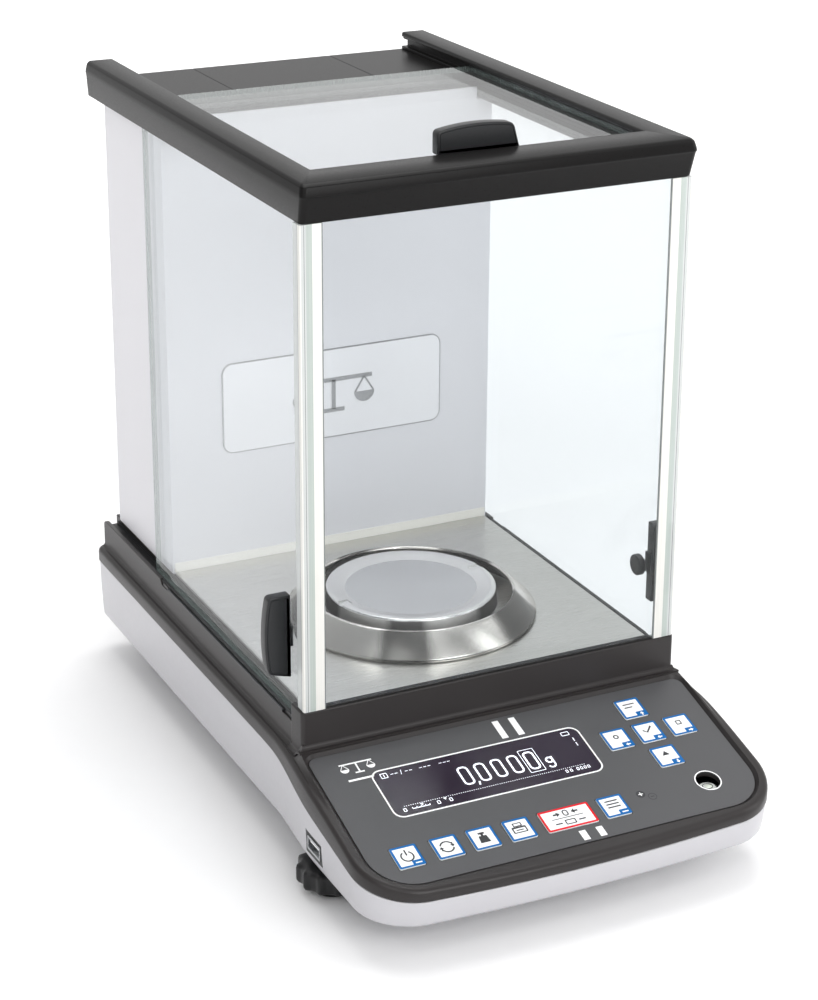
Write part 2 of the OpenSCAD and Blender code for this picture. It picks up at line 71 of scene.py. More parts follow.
PANEL_HALF = COVER_HIGH.x
HALF_D = COVER_HIGH.y
BODY_HALF = PANEL_HALF - 4
UNDERSIDE = TRAY_LOW.z
SEAM_Z = TRAY_HIGH.z
SEAM_FRONT_Z = 33.0
RISER_Z = COVER_HIGH.z
RISER_Y = -93.3
RISER_HALF = 103.0
WALL_T = 2.5
LEDGE_Z = 63.0
LEDGE_HALF = 102.0
TRACK_WALL_IN = 99.7
SOCKET_Z = 38.0
DECK_Z = FLOOR_LOW.z - 0.1
CORNER_R = 30.0
BOW = 3.0
FLARE = (-60.0, -120.0)
BED_DEPTH = 2.0
TILT = math.radians(15.7)
PANEL_ORIGIN = Vector((0, -93.0, 65.3))
PANEL = Matrix.Translation(PANEL_ORIGIN) @ Matrix.Rotation(TILT, 4, "X")
FOIL_HALF = FOIL_HIGH.x
FOIL_SLOPE = (-5.3, -95.7)
FOIL_R = 21.7
FOIL_REAR_R = 4.7
FOIL_TOP = 0.62
LEVEL_R = 6.1
SIDE_PORT_RIM = 2.4


def moved(x, y, z):
    return Matrix.Translation((x, y, z))


def turned_by(degrees, axis):
    return Matrix.Rotation(math.radians(degrees), 4, axis)


def panel_uv(point):
    """Place of a point on the tilted panel: across, and along the slope, which falls to the front."""
    local = PANEL.inverted() @ Vector(point)
    return Vector((local.x, local.y))


def centre_on_panel(node):
    low, high = box_mm(node)
    return panel_uv((low + high) / 2)


# ---- materials -----------------------------------------------------------------------------------

def rgb(red, green, blue):
    """Linear colour from display values of 0 to 255."""
    def linear(value):
        value /= 255
        return value / 12.92 if value <= 0.04045 else ((value + 0.055) / 1.055) ** 2.4
    return (linear(red), linear(green), linear(blue), 1.0)


class Nodes:
    """A material's node tree with short calls to add to it."""

    def __init__(self, name):
        self.material = bpy.data.materials.new(name)
        self.material.use_nodes = True
        self.tree = self.material.node_tree
        self.tree.nodes.clear()
        self.output = self.add("ShaderNodeOutputMaterial")

    def add(self, kind, **sockets):
        node = self.tree.nodes.new(kind)
        for key, value in sockets.items():
            self.set(node, key.replace("_", " "), value)
        return node

    def set(self, node, key, value):
        socket = node.inputs[key]
        if isinstance(value, bpy.types.NodeSocket):
            self.tree.links.new(value, socket)
        else:
            socket.default_value = value

    def coordinates(self, scale=(1, 1, 1), rotation=(0, 0, 0)):
        place = self.add("ShaderNodeTexCoord")
        mapping = self.add("ShaderNodeMapping", Scale=scale, Rotation=rotation)
        self.tree.links.new(place.outputs["Object"], mapping.inputs["Vector"])
        return mapping.outputs["Vector"]

    def noise(self, vector, scale, detail=3.0, roughness=0.55):
        texture = self.add(
            "ShaderNodeTexNoise", Vector=vector, Scale=scale, Detail=detail, Roughness=roughness)
        return texture.outputs["Fac"]

    def span(self, value, low, high, source=(0.3, 0.7)):
        """value, from its source range, as a number between low and high."""
        node = self.add("ShaderNodeMapRange")
        self.set(node, "Value", value)
        self.set(node, "From Min", source[0])
        self.set(node, "From Max", source[1])
        self.set(node, "To Min", low)
        self.set(node, "To Max", high)
        return node.outputs["Result"]

    def blend(self, factor, first, second):
        node = self.add("ShaderNodeMix")
        node.data_type = "RGBA"
        node.clamp_factor = True
        self.tree.links.new(factor, node.inputs[0])
        for index, colour in ((6, first), (7, second)):
            if isinstance(colour, bpy.types.NodeSocket):
                self.tree.links.new(colour, node.inputs[index])
            else:
                node.inputs[index].default_value = colour
        return node.outputs[2]

    def bump(self, height, strength, distance):
        node = self.add("ShaderNodeBump", Height=height, Strength=strength, Distance=distance)
        return node.outputs["Normal"]

    def math(self, operation, *values):
        node = self.add("ShaderNodeMath")
        node.operation = operation
        for index, value in enumerate(values):
            if isinstance(value, bpy.types.NodeSocket):
                self.tree.links.new(value, node.inputs[index])
            else:
                node.inputs[index].default_value = value
        return node.outputs[0]

    def principled(self, **sockets):
        return self.add("ShaderNodeBsdfPrincipled", **sockets)

    def finish(self, shader):
        self.tree.links.new(shader, self.output.inputs["Surface"])
        return self.material


def shade(colour, factor):
    return tuple(channel * factor for channel in colour[:3]) + (1.0,)


def plastic(name, colour, roughness, grain=2600.0, depth=0.00003, specular=0.5):
    """Moulded plastic: a fine erosion grain, slow colour drift and slightly uneven gloss."""
    n = Nodes(name)
    drift = n.noise(n.coordinates(), 14.0, 2.0)
    fine = n.noise(n.coordinates(), grain, 2.0)
    shader = n.principled(
        Base_Color=n.blend(drift, shade(colour, 0.93), shade(colour, 1.07)),
        Roughness=n.span(fine, roughness - 0.05, roughness + 0.05),
        Specular_IOR_Level=specular,
        Normal=n.bump(fine, 0.35, depth),
    )
    return n.finish(shader.outputs[0])


def paint(name, colour, roughness, coat, metallic=0.0, peel_depth=0.00001):
    """Sprayed coat with a faint orange peel."""
    n = Nodes(name)
    peel = n.noise(n.coordinates(), 420.0, 2.0)
    drift = n.noise(n.coordinates(), 9.0, 2.0)
    shader = n.principled(
        Base_Color=n.blend(drift, shade(colour, 0.975), shade(colour, 1.025)),
        Roughness=n.span(peel, roughness - 0.03, roughness + 0.03),
        Metallic=metallic,
        Coat_Weight=coat,
        Coat_Roughness=0.25,
        Normal=n.bump(peel, 0.1, peel_depth),
    )
    return n.finish(shader.outputs[0])


def brushed(name, colour, roughness, across=(4200.0, 30.0, 4200.0), contrast=0.12):
    """Metal with straight brush lines; across is the line frequency along X, Y and Z."""
    n = Nodes(name)
    lines = n.noise(n.coordinates(scale=across), 1.0, 3.0, 0.7)
    cloud = n.noise(n.coordinates(), 18.0, 2.0)
    shader = n.principled(
        Base_Color=n.blend(
            n.math("MULTIPLY", lines, cloud), shade(colour, 1 - contrast), shade(colour, 1 + contrast)),
        Metallic=1.0,
        Roughness=n.span(lines, roughness - 0.07, roughness + 0.09),
        Normal=n.bump(lines, 0.25, 0.00002),
    )
    return n.finish(shader.outputs[0])


def turned(name, colour, roughness, pitch, depth, painted_band_dark, brushing):
    """Metal turned about the Z axis: fine rings, and light and dark bands round the axis painted into the
    colour as a reflection, at their darkest the share given as the sixth argument.

    The painted reflection bands are part of the colour. They do not move with the light or the view.
    """
    n = Nodes(name)
    place = n.add("ShaderNodeTexCoord")
    parts = n.add("ShaderNodeSeparateXYZ", Vector=place.outputs["Object"])
    square_x = n.math("MULTIPLY", parts.outputs["X"], parts.outputs["X"])
    square_y = n.math("MULTIPLY", parts.outputs["Y"], parts.outputs["Y"])
    radius = n.math("SQRT", n.math("ADD", square_x, square_y))
    along = n.add("ShaderNodeCombineXYZ", X=radius, Y=parts.outputs["Z"])
    rings = n.noise(along.outputs[0], pitch, 3.0, 0.65)
    cloud = n.noise(n.coordinates(), 30.0, 2.0)
    # Painted reflection: light and dark bands by bearing round the axis, scaled into the base colour.
    bearing = n.math("ARCTAN2", parts.outputs["Y"], parts.outputs["X"])
    broad = n.math("SINE", n.math("MULTIPLY_ADD", bearing, 5.0, 2.44))
    narrow = n.math("SINE", n.math("MULTIPLY_ADD", bearing, 13.0, 0.4))
    sheen = n.span(n.math("MULTIPLY_ADD", narrow, 0.35, broad), painted_band_dark, 1.08, (-0.5, 0.2))
    tone = n.add("ShaderNodeVectorMath", Vector=n.blend(
        n.math("MULTIPLY", rings, cloud), shade(colour, 0.985), shade(colour, 1.01)))
    tone.operation = "SCALE"
    n.set(tone, "Scale", sheen)
    lathe = n.add("ShaderNodeTangent")
    lathe.direction_type = "RADIAL"
    lathe.axis = "Z"
    shader = n.principled(
        Base_Color=tone.outputs["Vector"],
        Metallic=1.0,
        Roughness=n.span(rings, roughness - 0.01, roughness + 0.015),
        Anisotropic=brushing,
        Tangent=lathe.outputs[0],
        Normal=n.bump(rings, 0.1, depth),
    )
    return n.finish(shader.outputs[0])


def cast_metal(name, colour, roughness):
    n = Nodes(name)
    grit = n.noise(n.coordinates(), 900.0, 4.0)
    cloud = n.noise(n.coordinates(), 25.0, 3.0)
    shader = n.principled(
        Base_Color=n.blend(cloud, shade(colour, 0.85), shade(colour, 1.08)),
        Metallic=1.0,
        Roughness=n.span(grit, roughness - 0.08, roughness + 0.1),
        Normal=n.bump(grit, 0.4, 0.0001),
    )
    return n.finish(shader.outputs[0])


def pane(name, tint, haze):
    """Flat glass: clear head on, with a mirror sheen that grows at a slant and a trace of wiping haze."""
    n = Nodes(name)
    wipe = n.noise(n.coordinates(scale=(9, 9, 3)), 3.0, 4.0)
    clear = n.add("ShaderNodeBsdfTransparent", Color=tint)
    mirror = n.add("ShaderNodeBsdfGlossy", Color=(1, 1, 1, 1), Roughness=n.span(wipe, 0.015, 0.05))
    film = n.add("ShaderNodeBsdfDiffuse", Color=(0.9, 0.93, 0.92, 1))
    slant = n.add("ShaderNodeLayerWeight", Blend=0.5)
    steep = n.math("POWER", slant.outputs["Facing"], 5.0)
    sheen = n.add("ShaderNodeMixShader")
    n.tree.links.new(n.math("MULTIPLY_ADD", steep, 0.9, 0.014), sheen.inputs[0])
    n.tree.links.new(clear.outputs[0], sheen.inputs[1])
    n.tree.links.new(mirror.outputs[0], sheen.inputs[2])
    dusty = n.add("ShaderNodeMixShader")
    n.tree.links.new(n.span(wipe, haze * 0.6, haze * 1.4), dusty.inputs[0])
    n.tree.links.new(sheen.outputs[0], dusty.inputs[1])
    n.tree.links.new(film.outputs[0], dusty.inputs[2])
    return n.finish(dusty.outputs[0])


def glass_rim(name, colour, clearness):
    """Ground edge of a pane or a clear profile: partly see-through, with long soft streaks."""
    n = Nodes(name)
    streak = n.noise(n.coordinates(scale=(1400, 1400, 4)), 1.0, 2.0)
    body = n.principled(
        Base_Color=n.blend(streak, shade(colour, 0.86), shade(colour, 1.08)),
        Roughness=n.span(streak, 0.12, 0.26),
        Specular_IOR_Level=0.6,
    )
    clear = n.add("ShaderNodeBsdfTransparent", Color=(0.94, 0.96, 0.955, 1))
    mix = n.add("ShaderNodeMixShader")
    n.tree.links.new(n.span(streak, clearness - 0.08, clearness + 0.08), mix.inputs[0])
    n.tree.links.new(body.outputs[0], mix.inputs[1])
    n.tree.links.new(clear.outputs[0], mix.inputs[2])
    return n.finish(mix.outputs[0])


def dark_screen(name):
    """Tinted window of the display: near black with a violet cast, glossy."""
    n = Nodes(name)
    cloud = n.noise(n.coordinates(), 22.0, 2.0)
    shader = n.principled(
        Base_Color=n.blend(cloud, rgb(30, 24, 30), rgb(48, 36, 56)),
        Roughness=n.span(cloud, 0.1, 0.16),
        Specular_IOR_Level=0.35,
    )
    return n.finish(shader.outputs[0])


def lit_segments(name, colour, strength):
    n = Nodes(name)
    flicker = n.noise(n.coordinates(), 3000.0, 1.0)
    shader = n.principled(
        Base_Color=n.blend(flicker, shade(colour, 0.8), colour),
        Emission_Color=n.blend(flicker, shade(colour, 0.8), colour),
        Emission_Strength=strength,
        Roughness=0.4,
    )
    return n.finish(shader.outputs[0])


def board(name):
    """Solder mask with faint copper tracks under it."""
    n = Nodes(name)
    cells = n.add("ShaderNodeTexVoronoi", Vector=n.coordinates(), Scale=260.0)
    shader = n.principled(
        Base_Color=n.blend(
            n.span(cells.outputs["Distance"], 0, 1, (0.0, 0.5)), rgb(18, 70, 42), rgb(30, 104, 62)),
        Roughness=0.35,
        Normal=n.bump(cells.outputs["Distance"], 0.2, 0.00003),
    )
    return n.finish(shader.outputs[0])


COVER = plastic("dark_cover_plastic", rgb(45, 42, 42), 0.34, grain=1500.0, depth=0.00005, specular=0.28)
HOOD = plastic("dark_hood_plastic", rgb(18, 17, 17), 0.32, grain=1700.0, depth=0.00003, specular=0.14)
BLACK = plastic("black_plastic", rgb(22, 22, 23), 0.34, grain=1500.0, depth=0.00006, specular=0.35)
GRIP = plastic("grip_plastic", rgb(32, 33, 35), 0.32, specular=0.4)
MODULE = plastic("module_black", rgb(28, 28, 30), 0.5)
FOIL = plastic("foil_grey", rgb(78, 78, 80), 0.46, grain=5200.0, depth=0.00001, specular=0.35)
KEY = plastic("key_white", rgb(246, 247, 248), 0.4, grain=5200.0, depth=0.000008, specular=0.3)
PRINT_WHITE = plastic("print_white", rgb(250, 250, 250), 0.5, depth=0.000004)
PRINT_BLUE = plastic("print_blue", rgb(0, 98, 166), 0.5, depth=0.000004, specular=0.2)
PRINT_RED = plastic("print_red", rgb(214, 22, 36), 0.5, depth=0.000004, specular=0.2)
PRINT_DARK = plastic("print_dark", rgb(38, 38, 42), 0.5, depth=0.000004)
TRAY = paint("tray_silver", rgb(192, 191, 195), 0.34, 0.3, metallic=0.4)
TOWER = paint("tower_white", rgb(221, 220, 224), 0.45, 0.1)
PLATE = paint("plate_satin", rgb(232, 231, 234), 0.22, 0.6)
PLATE_EDGE = brushed("plate_edge", rgb(178, 178, 180), 0.3)
STRIP = plastic("strip_cream", rgb(238, 235, 228), 0.45)
FLOOR_STEEL = brushed("floor_steel", rgb(214, 213, 209), 0.3, across=(30.0, 4200.0, 4200.0))
# Turned steels carry painted reflection bands by bearing: faint on the pan's top and middle, strong on the
# pan's skirt and the draught ring.
PAN_STEEL = turned("pan_steel", rgb(226, 225, 224), 0.26, 3200.0, 0.000001, 1.04, 0.2)
PAN_MIDDLE = turned("pan_middle_steel", rgb(205, 205, 206), 0.3, 3200.0, 0.000001, 1.07, 0.5)
PAN_SKIRT = turned("pan_skirt_steel", rgb(232, 230, 228), 0.45, 2400.0, 0.000001, 0.3, 0.0)
RING_STEEL = turned("ring_steel", rgb(212, 208, 203), 0.24, 2400.0, 0.000001, 0.22, 0.4)
CAST = cast_metal("cast_aluminium", rgb(168, 170, 172), 0.45)
MACHINED = brushed("machined_aluminium", rgb(200, 202, 204), 0.3)
BRASS = brushed("brass", rgb(206, 176, 104), 0.28)
SCREW = brushed("screw_steel", rgb(176, 178, 180), 0.3)
CONNECTOR = brushed("connector_metal", rgb(186, 188, 190), 0.28)
CIRCUIT = board("circuit_board")
RUBBER = plastic("rubber_black", rgb(30, 30, 30), 0.7, grain=1400.0, depth=0.00006, specular=0.3)
GLASS = pane("clear_glass", (0.93, 0.942, 0.947, 1), 0.005)
GLASS_EDGE = glass_rim("glass_edge", rgb(140, 152, 148), 0.45)
PROFILE = glass_rim("clear_profile", rgb(216, 219, 219), 0.3)
# Corner post bands: a painted view of the front pane's green edge seen through the profile, and a near-white
# painted highlight.
PROFILE_PAINTED_PANE_EDGE = glass_rim("clear_profile_painted_pane_edge", rgb(192, 202, 197), 0.3)
PROFILE_PAINTED_HIGHLIGHT = glass_rim("clear_profile_painted_highlight", rgb(236, 235, 230), 0.15)
PROFILE_DARK = glass_rim("clear_profile_dark", rgb(120, 124, 124), 0.2)
SCREEN = dark_screen("display_glass")
LIT = lit_segments("display_segments", rgb(238, 240, 250), 0.9)
VIAL = plastic("vial_liquid", rgb(212, 214, 210), 0.12, depth=0.000002)
BUBBLE = plastic("vial_bubble", rgb(214, 220, 208), 0.1, depth=0.000002)

SLOT_MATERIALS = {
    "tray_silver": TRAY, "cast_aluminium": CAST, "cover_dark": COVER, "foil_grey": FOIL,
    "display_glass": SCREEN, "module_black": MODULE, "circuit_board": CIRCUIT, "vial_liquid": VIAL,
    "black_plastic": BLACK, "stainless": FLOOR_STEEL, "rubber_black": RUBBER, "tower_white": TOWER,
    "plate_satin": PLATE, "strip_cream": STRIP, "clear_glass": GLASS, "clear_profile": PROFILE,
    "machined_aluminium": MACHINED, "brass": BRASS, "connector_metal": CONNECTOR,
    "screw_steel": SCREW, "key_white": KEY,
}


# ---- mesh helpers --------------------------------------------------------------------------------

class Shape:
    """Vertices, faces and a material number for each face, gathered before they become one object."""

    def __init__(self):
        self.verts = []
        self.faces = []
        self.marks = []

    def add(self, verts, faces, mark=0, place=None):
        start = len(self.verts)
        for vert in verts:
            vert = Vector(vert)
            self.verts.append(place @ vert if place else vert)
        self.faces += [tuple(start + index for index in face) for face in faces]
        self.marks += [mark] * len(faces)
        return self


def piece(name, shape, materials, body="housing", stands_for=(), bevel=0.0, segments=2,
          limit=32.0, smooth=38.0):
    """Makes one object of a shape, softens its edges when a bevel is given, attaches it to its body and
    hides the CAD parts it stands for.
    """
    mesh = bpy.data.meshes.new(name)
    mesh.from_pydata([vert * MM for vert in shape.verts], [], shape.faces)
    for material in materials:
        mesh.materials.append(material)
    mesh.polygons.foreach_set("material_index", shape.marks)
    tidy_mesh(mesh, smooth)
    obj = bpy.data.objects.new(name, mesh)
    bpy.context.scene.collection.objects.link(obj)
    if bevel:
        soften(obj, bevel, segments, limit)
    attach(obj, body)
    if stands_for:
        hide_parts(*stands_for)
    return obj


def tidy_mesh(mesh, smooth):
    """Turns every face outwards and shades the mesh smooth up to an angle."""
    work = bmesh.new()
    work.from_mesh(mesh)
    bmesh.ops.recalc_face_normals(work, faces=work.faces)
    work.to_mesh(mesh)
    work.free()
    mesh.shade_smooth()
    mesh.set_sharp_from_angle(angle=math.radians(smooth))
    mesh.update()


def soften(obj, width, segments=2, limit=32.0):
    bevel = obj.modifiers.new("soft_edges", "BEVEL")
    bevel.width = width * MM
    bevel.segments = segments
    bevel.limit_method = "ANGLE"
    bevel.angle_limit = math.radians(limit)
    bevel.harden_normals = True
    bevel.use_clamp_overlap = True


def loft(rings, caps=("flat", "flat")):
    """Closed skin over rings of equally many points. A cap is flat, or ruled from side to side."""
    count = len(rings[0])
    verts = [point for ring in rings for point in ring]
    faces = []
    for level in range(len(rings) - 1):
        for index in range(count):
            after = (index + 1) % count
            low, high = level * count, (level + 1) * count
            faces.append((low + index, low + after, high + after, high + index))
    for start, cap in ((0, caps[0]), ((len(rings) - 1) * count, caps[1])):
        if cap == "flat":
            faces.append(tuple(start + index for index in range(count)))
        elif cap == "ruled":
            faces.append((start, start + 1, start + count - 1))
            for index in range(1, count // 2):
                near, far = start + index, start + count - index
                faces.append((near, near + 1, far - 1, far))
    return verts, faces


def slab(loops, low, high):
    """Plate between two heights. The first loop is its outline and the others are holes."""
    lines = [[Vector((x, y, 0)) for x, y in loop] for loop in loops]
    flat = [point for line in lines for point in line]
    count = len(flat)
    verts = [(p.x, p.y, low) for p in flat] + [(p.x, p.y, high) for p in flat]
    caps = tessellate_polygon(lines)
    faces = [tuple(reversed(cap)) for cap in caps]
    faces += [tuple(index + count for index in cap) for cap in caps]
    start = 0
    for loop in loops:
        size = len(loop)
        for index in range(size):
            first, second = start + index, start + (index + 1) % size
            faces.append((first, second, second + count, first + count))
        start += size
    return verts, faces


def prism(outline, low, high):
    return loft([[(x, y, z) for x, y in outline] for z in (low, high)])


def arc(centre, radius, start, end, steps):
    for index in range(steps + 1):
        angle = math.radians(start + (end - start) * index / steps)
        yield (centre[0] + radius * math.cos(angle), centre[1] + radius * math.sin(angle))


def rounded(width, height, radius, centre=(0, 0), steps=6):
    points = []
    for quarter, (side_x, side_y) in enumerate(((1, 1), (-1, 1), (-1, -1), (1, -1))):
        corner = (centre[0] + side_x * (width / 2 - radius), centre[1] + side_y * (height / 2 - radius))
        points += arc(corner, radius, 90 * quarter, 90 * quarter + 90, steps)
    return points


def panel_outline(grow):
    """Outline of the foil: wide corners at the front of the panel and tight ones at the rear."""
    half = FOIL_HALF + grow
    rear, front = FOIL_SLOPE[0] + grow, FOIL_SLOPE[1] - grow
    rear_r, front_r = FOIL_REAR_R + grow, FOIL_R + grow
    right = list(arc((half - front_r, front + front_r), front_r, -90, 0, 14))
    right += arc((half - rear_r, rear - rear_r), rear_r, 0, 90, 8)
    return right + [(-x, y) for x, y in right[::-1]]


def circle(radius, centre=(0, 0), steps=48):
    return list(arc(centre, radius, 0, 360 - 360 / steps, steps - 1))


def box(low, high):
    outline = [(low[0], low[1]), (high[0], low[1]), (high[0], high[1]), (low[0], high[1])]
    return prism(outline, low[2], high[2])


def revolve(profile, steps=96):
    """Solid turned about Z from a closed profile of (radius, height). Points on the axis stay single."""
    verts, faces, rows = [], [], []
    for radius, height in profile:
        size = 1 if radius < 1e-6 else steps
        rows.append((len(verts), size))
        for index in range(size):
            angle = 2 * math.pi * index / steps
            verts.append((radius * math.cos(angle), radius * math.sin(angle), height))
    for row, (first, size) in enumerate(rows):
        second, other = rows[(row + 1) % len(rows)]
        if size == 1 and other == 1:
            continue
        for index in range(steps):
            after = (index + 1) % steps
            corners = [first + step % size for step in (index, after)]
            corners += [second + step % other for step in (after, index)]
            faces.append(tuple(dict.fromkeys(corners)))
    return verts, faces


def stroke(points, width):
    """Outline of a line of a given width through points, for print and segments."""
    left, right = [], []
    for index, point in enumerate(points):
        before = Vector(points[max(index - 1, 0)])
        after = Vector(points[min(index + 1, len(points) - 1)])
        along = (after - before).normalized()
        side = Vector((-along.y, along.x)) * width / 2
        left.append(tuple(Vector(point) + side))
        right.append(tuple(Vector(point) - side))
    return right + left[::-1]


def cut(obj, cutters):
    """Takes each cutter's shape out of obj for good."""
    helpers = []
    for number, (verts, faces) in enumerate(cutters):
        mesh = bpy.data.meshes.new("cutter")
        mesh.from_pydata([Vector(vert) * MM for vert in verts], [], faces)
        tidy_mesh(mesh, 30)
        helper = bpy.data.objects.new("cutter", mesh)
        bpy.context.scene.collection.objects.link(helper)
        helpers.append(helper)
        modifier = obj.modifiers.new(f"cut_{number}", "BOOLEAN")
        modifier.object = helper
        modifier.operation = "DIFFERENCE"
        modifier.solver = "EXACT"
    bpy.context.view_layer.update()
    graph = bpy.context.evaluated_depsgraph_get()
    result = bpy.data.meshes.new_from_object(obj.evaluated_get(graph))
    obj.modifiers.clear()
    obj.data = result
    result.set_sharp_from_angle(angle=math.radians(38))
    for helper in helpers:
        bpy.data.objects.remove(helper)


# ---- base ----------------------------------------------------------------------------------------

def ease(value):
    value = min(max(value, 0.0), 1.0)
    return value * value * (3 - 2 * value)


def half_width(y, inset):
    return BODY_HALF + (PANEL_HALF - BODY_HALF) * ease((FLARE[0] - y) / (FLARE[0] - FLARE[1])) - inset


def plan(inset):
    """Outline of the base in plan from the front's middle round the right side to the left."""
    rear_r = 6.0
    front = -HALF_D + BOW + inset
    centre = (PANEL_HALF - CORNER_R, -HALF_D + BOW + CORNER_R)
    right = []
    for step in range(13):
        share = step / 12
        right.append((centre[0] * share, front - BOW * (1 - share * share)))
    right += arc(centre, CORNER_R - inset, -85, -5, 16)
    rows = 34
    for step in range(rows + 1):
        y = centre[1] + (-40 - centre[1]) * step / rows
        right.append((half_width(y, inset), y))
    for step in range(1, 12):
        right.append((half_width(0, inset), -40 + (HALF_D - rear_r + 40) * step / 12))
    right += arc((half_width(0, 0) - rear_r, HALF_D - rear_r), rear_r - min(inset, rear_r - 0.6), 0, 90, 6)
    left = [(-x, y) for x, y in right[:0:-1]]
    return right + left


def seam(y):
    """Height of the seam: level beside the chamber, then falling to the front."""
    bend_y = -70.0
    slope = (SEAM_Z - SEAM_FRONT_Z) / (HALF_D + bend_y)
    return SEAM_Z - slope * math.log(1 + math.exp((bend_y - y) / 8)) * 8


def tray_ring(height, side_inset, front_inset, from_seam=False):
    """Ring of the tray: inset by one amount along the sides and another round the front."""
    ring = []
    for side, front in zip(plan(side_inset), plan(front_inset)):
        share = ease((-95 - side[1]) / 75)
        x = side[0] + (front[0] - side[0]) * share
        y = side[1] + (front[1] - side[1]) * share
        ring.append((x, y, seam(side[1]) + height if from_seam else UNDERSIDE + height))
    return ring


def make_tray():
    edge_r = 3.0
    side_draft, front_draft = 1.2, 1.3
    rings = []
    for step in range(6):
        angle = math.radians(90 * step / 5)
        inset = edge_r * (1 - math.sin(angle))
        height = edge_r * (1 - math.cos(angle))
        rings.append(tray_ring(height, 0.6 + side_draft + inset, 0.6 + front_draft + inset))
    foot = rings[-1]
    top = tray_ring(-0.5, 0.6, 0.6, True)
    for step in range(1, 9):
        share = step / 8
        bulge = 1 - (1 - share) ** 1.7
        rings.append([
            (a[0] + (b[0] - a[0]) * bulge, a[1] + (b[1] - a[1]) * bulge, a[2] + (b[2] - a[2]) * share)
            for a, b in zip(foot, top)
        ])
    rings.append(tray_ring(-0.15, 0.95, 0.95, True))
    rings.append(tray_ring(-0.1, 1.5, 1.5, True))
    rings.append(tray_ring(-0.1, 3.0, 3.0, True))
    rings.append(tray_ring(edge_r + 2, 0.6 + side_draft + WALL_T, 0.6 + front_draft + WALL_T))
    rings.append(tray_ring(WALL_T, side_draft + WALL_T + 3, front_draft + WALL_T + 3))
    shape = Shape().add(*loft(rings))
    tray = piece("tray_shell", shape, [TRAY], stands_for=["base_tray"])
    ports = (("power_jack", 0.1), ("serial_port", 0.2), ("usb_rear_port", 0.2))
    cutters = [port_cutter(node, gap) for node, gap in ports]
    low, high = box_mm("usb_side_port")
    rim = SIDE_PORT_RIM
    cutters.append(box((low.x - 8, low.y - rim, low.z - rim), (high.x - 2, high.y + rim, high.z + rim)))
    cut(tray, cutters)
    soften(tray, 0.35, 2, 40)
    centre = ((low.y + high.y) / 2, (low.z + high.z) / 2)
    width, height = high.y - low.y, high.z - low.z
    loops = [rounded(width + 2 * rim - 0.4, height + 2 * rim - 0.4, 0.8, centre, 3),
             rounded(width + 0.2, height + 0.2, 0.4, centre, 3)]
    turn = Matrix(((0, 0, 1, 0), (1, 0, 0, 0), (0, 1, 0, 0), (0, 0, 0, 1)))
    bezel = Shape().add(*slab(loops, low.x + 0.4, low.x + 1.6), place=turn)
    piece("side_port_bezel", bezel, [BLACK])


def port_cutter(node, gap):
    """Opening in the rear wall for a socket."""
    low, high = box_mm(node)
    if node == "power_jack":
        height = low.z + (high.z - low.z) / 2
        outline = circle((high.x - low.x) / 2 + gap, ((low.x + high.x) / 2, height))
    else:
        outline = rounded(high.x - low.x + 2 * gap, high.z - low.z + 2 * gap, 1.2,
                          ((low.x + high.x) / 2, (low.z + high.z) / 2))
    front, back = HALF_D - 8, HALF_D + 5
    return loft([[(x, y, z) for x, z in outline] for y in (front, back)])


def panel_line(y):
    """Height of the rim round the panel at a depth y."""
    return PANEL_ORIGIN.z + BED_DEPTH - (PANEL_ORIGIN.y - y) * math.tan(TILT)


def outer_top(y):
    """Height of the cover's outer top edge: the ledge, running softly into the panel's rim."""
    blend = 4.0
    slope_line = panel_line(y)
    return -blend * math.log(math.exp(-LEDGE_Z / blend) + math.exp(-slope_line / blend))


def inner_top(y):
    share = ease((RISER_Y + 6 - y) / 6)
    return LEDGE_Z + (panel_line(min(y, RISER_Y)) - LEDGE_Z) * share


def cover_ring(inset, height):
    """Ring of the cover; height is a function of the depth y."""
    return [(x, y, height(y)) for x, y in plan(inset)]


def make_cover():
    edge_r = 2.6
    gap = 0.35
    ceiling = WALL_T + BED_DEPTH
    rings = [
        cover_ring(WALL_T + 3, lambda y: inner_top(y) - ceiling),
        cover_ring(WALL_T + 0.4, lambda y: outer_top(y) - ceiling - 1),
        cover_ring(WALL_T, lambda y: seam(y) + gap),
        cover_ring(0.5, lambda y: seam(y) + gap),
        cover_ring(0.12, lambda y: seam(y) + gap + 0.12),
        cover_ring(0.0, lambda y: seam(y) + gap + 0.5),
    ]
    for step in range(7):
        angle = math.radians(90 * step / 6)
        inset, drop = edge_r * (1 - math.cos(angle)), edge_r * (1 - math.sin(angle))
        rings.append(cover_ring(inset, lambda y, drop=drop: outer_top(y) - drop))
    rings.append(cover_ring(3.6, lambda y: outer_top(y) * 0.6 + inner_top(y) * 0.4))
    rings.append(cover_ring(4.4, inner_top))
    shape = Shape().add(*loft(rings, caps=("ruled", "ruled")))
    cover = piece("cover_shell", shape, [COVER], stands_for=["base_cover"])
    slope = 1.7
    levels = []
    for rise, spread in ((0.0, 0.3), (BED_DEPTH + 3, 0.3 + slope * (BED_DEPTH + 3) / BED_DEPTH)):
        levels.append([PANEL @ Vector((x, y, rise)) for x, y in panel_outline(spread)])
    bed = loft(levels)
    half = LEDGE_HALF - 2.4
    opening = box((-half, RISER_Y + 3, LEDGE_Z - 20), (half, HALF_D - 6, LEDGE_Z + 20))
    cut(cover, [bed, opening, level_hole()])
    soften(cover, 0.5, 2, 34)


def level_hole():
    """Round hole through the panel for the level."""
    outline = circle(LEVEL_R, level_spot(), 40)
    return loft([[PANEL @ Vector((x, y, z)) for x, y in outline] for z in (-12, 10)])


def level_spot():
    """Centre of the level window on the panel."""
    low, high = box_mm("level_holder")
    x, y = (low.x + high.x) / 2, (low.y + high.y) / 2
    z = PANEL_ORIGIN.z + (y - PANEL_ORIGIN.y) * math.tan(TILT)
    return panel_uv((x, y, z))


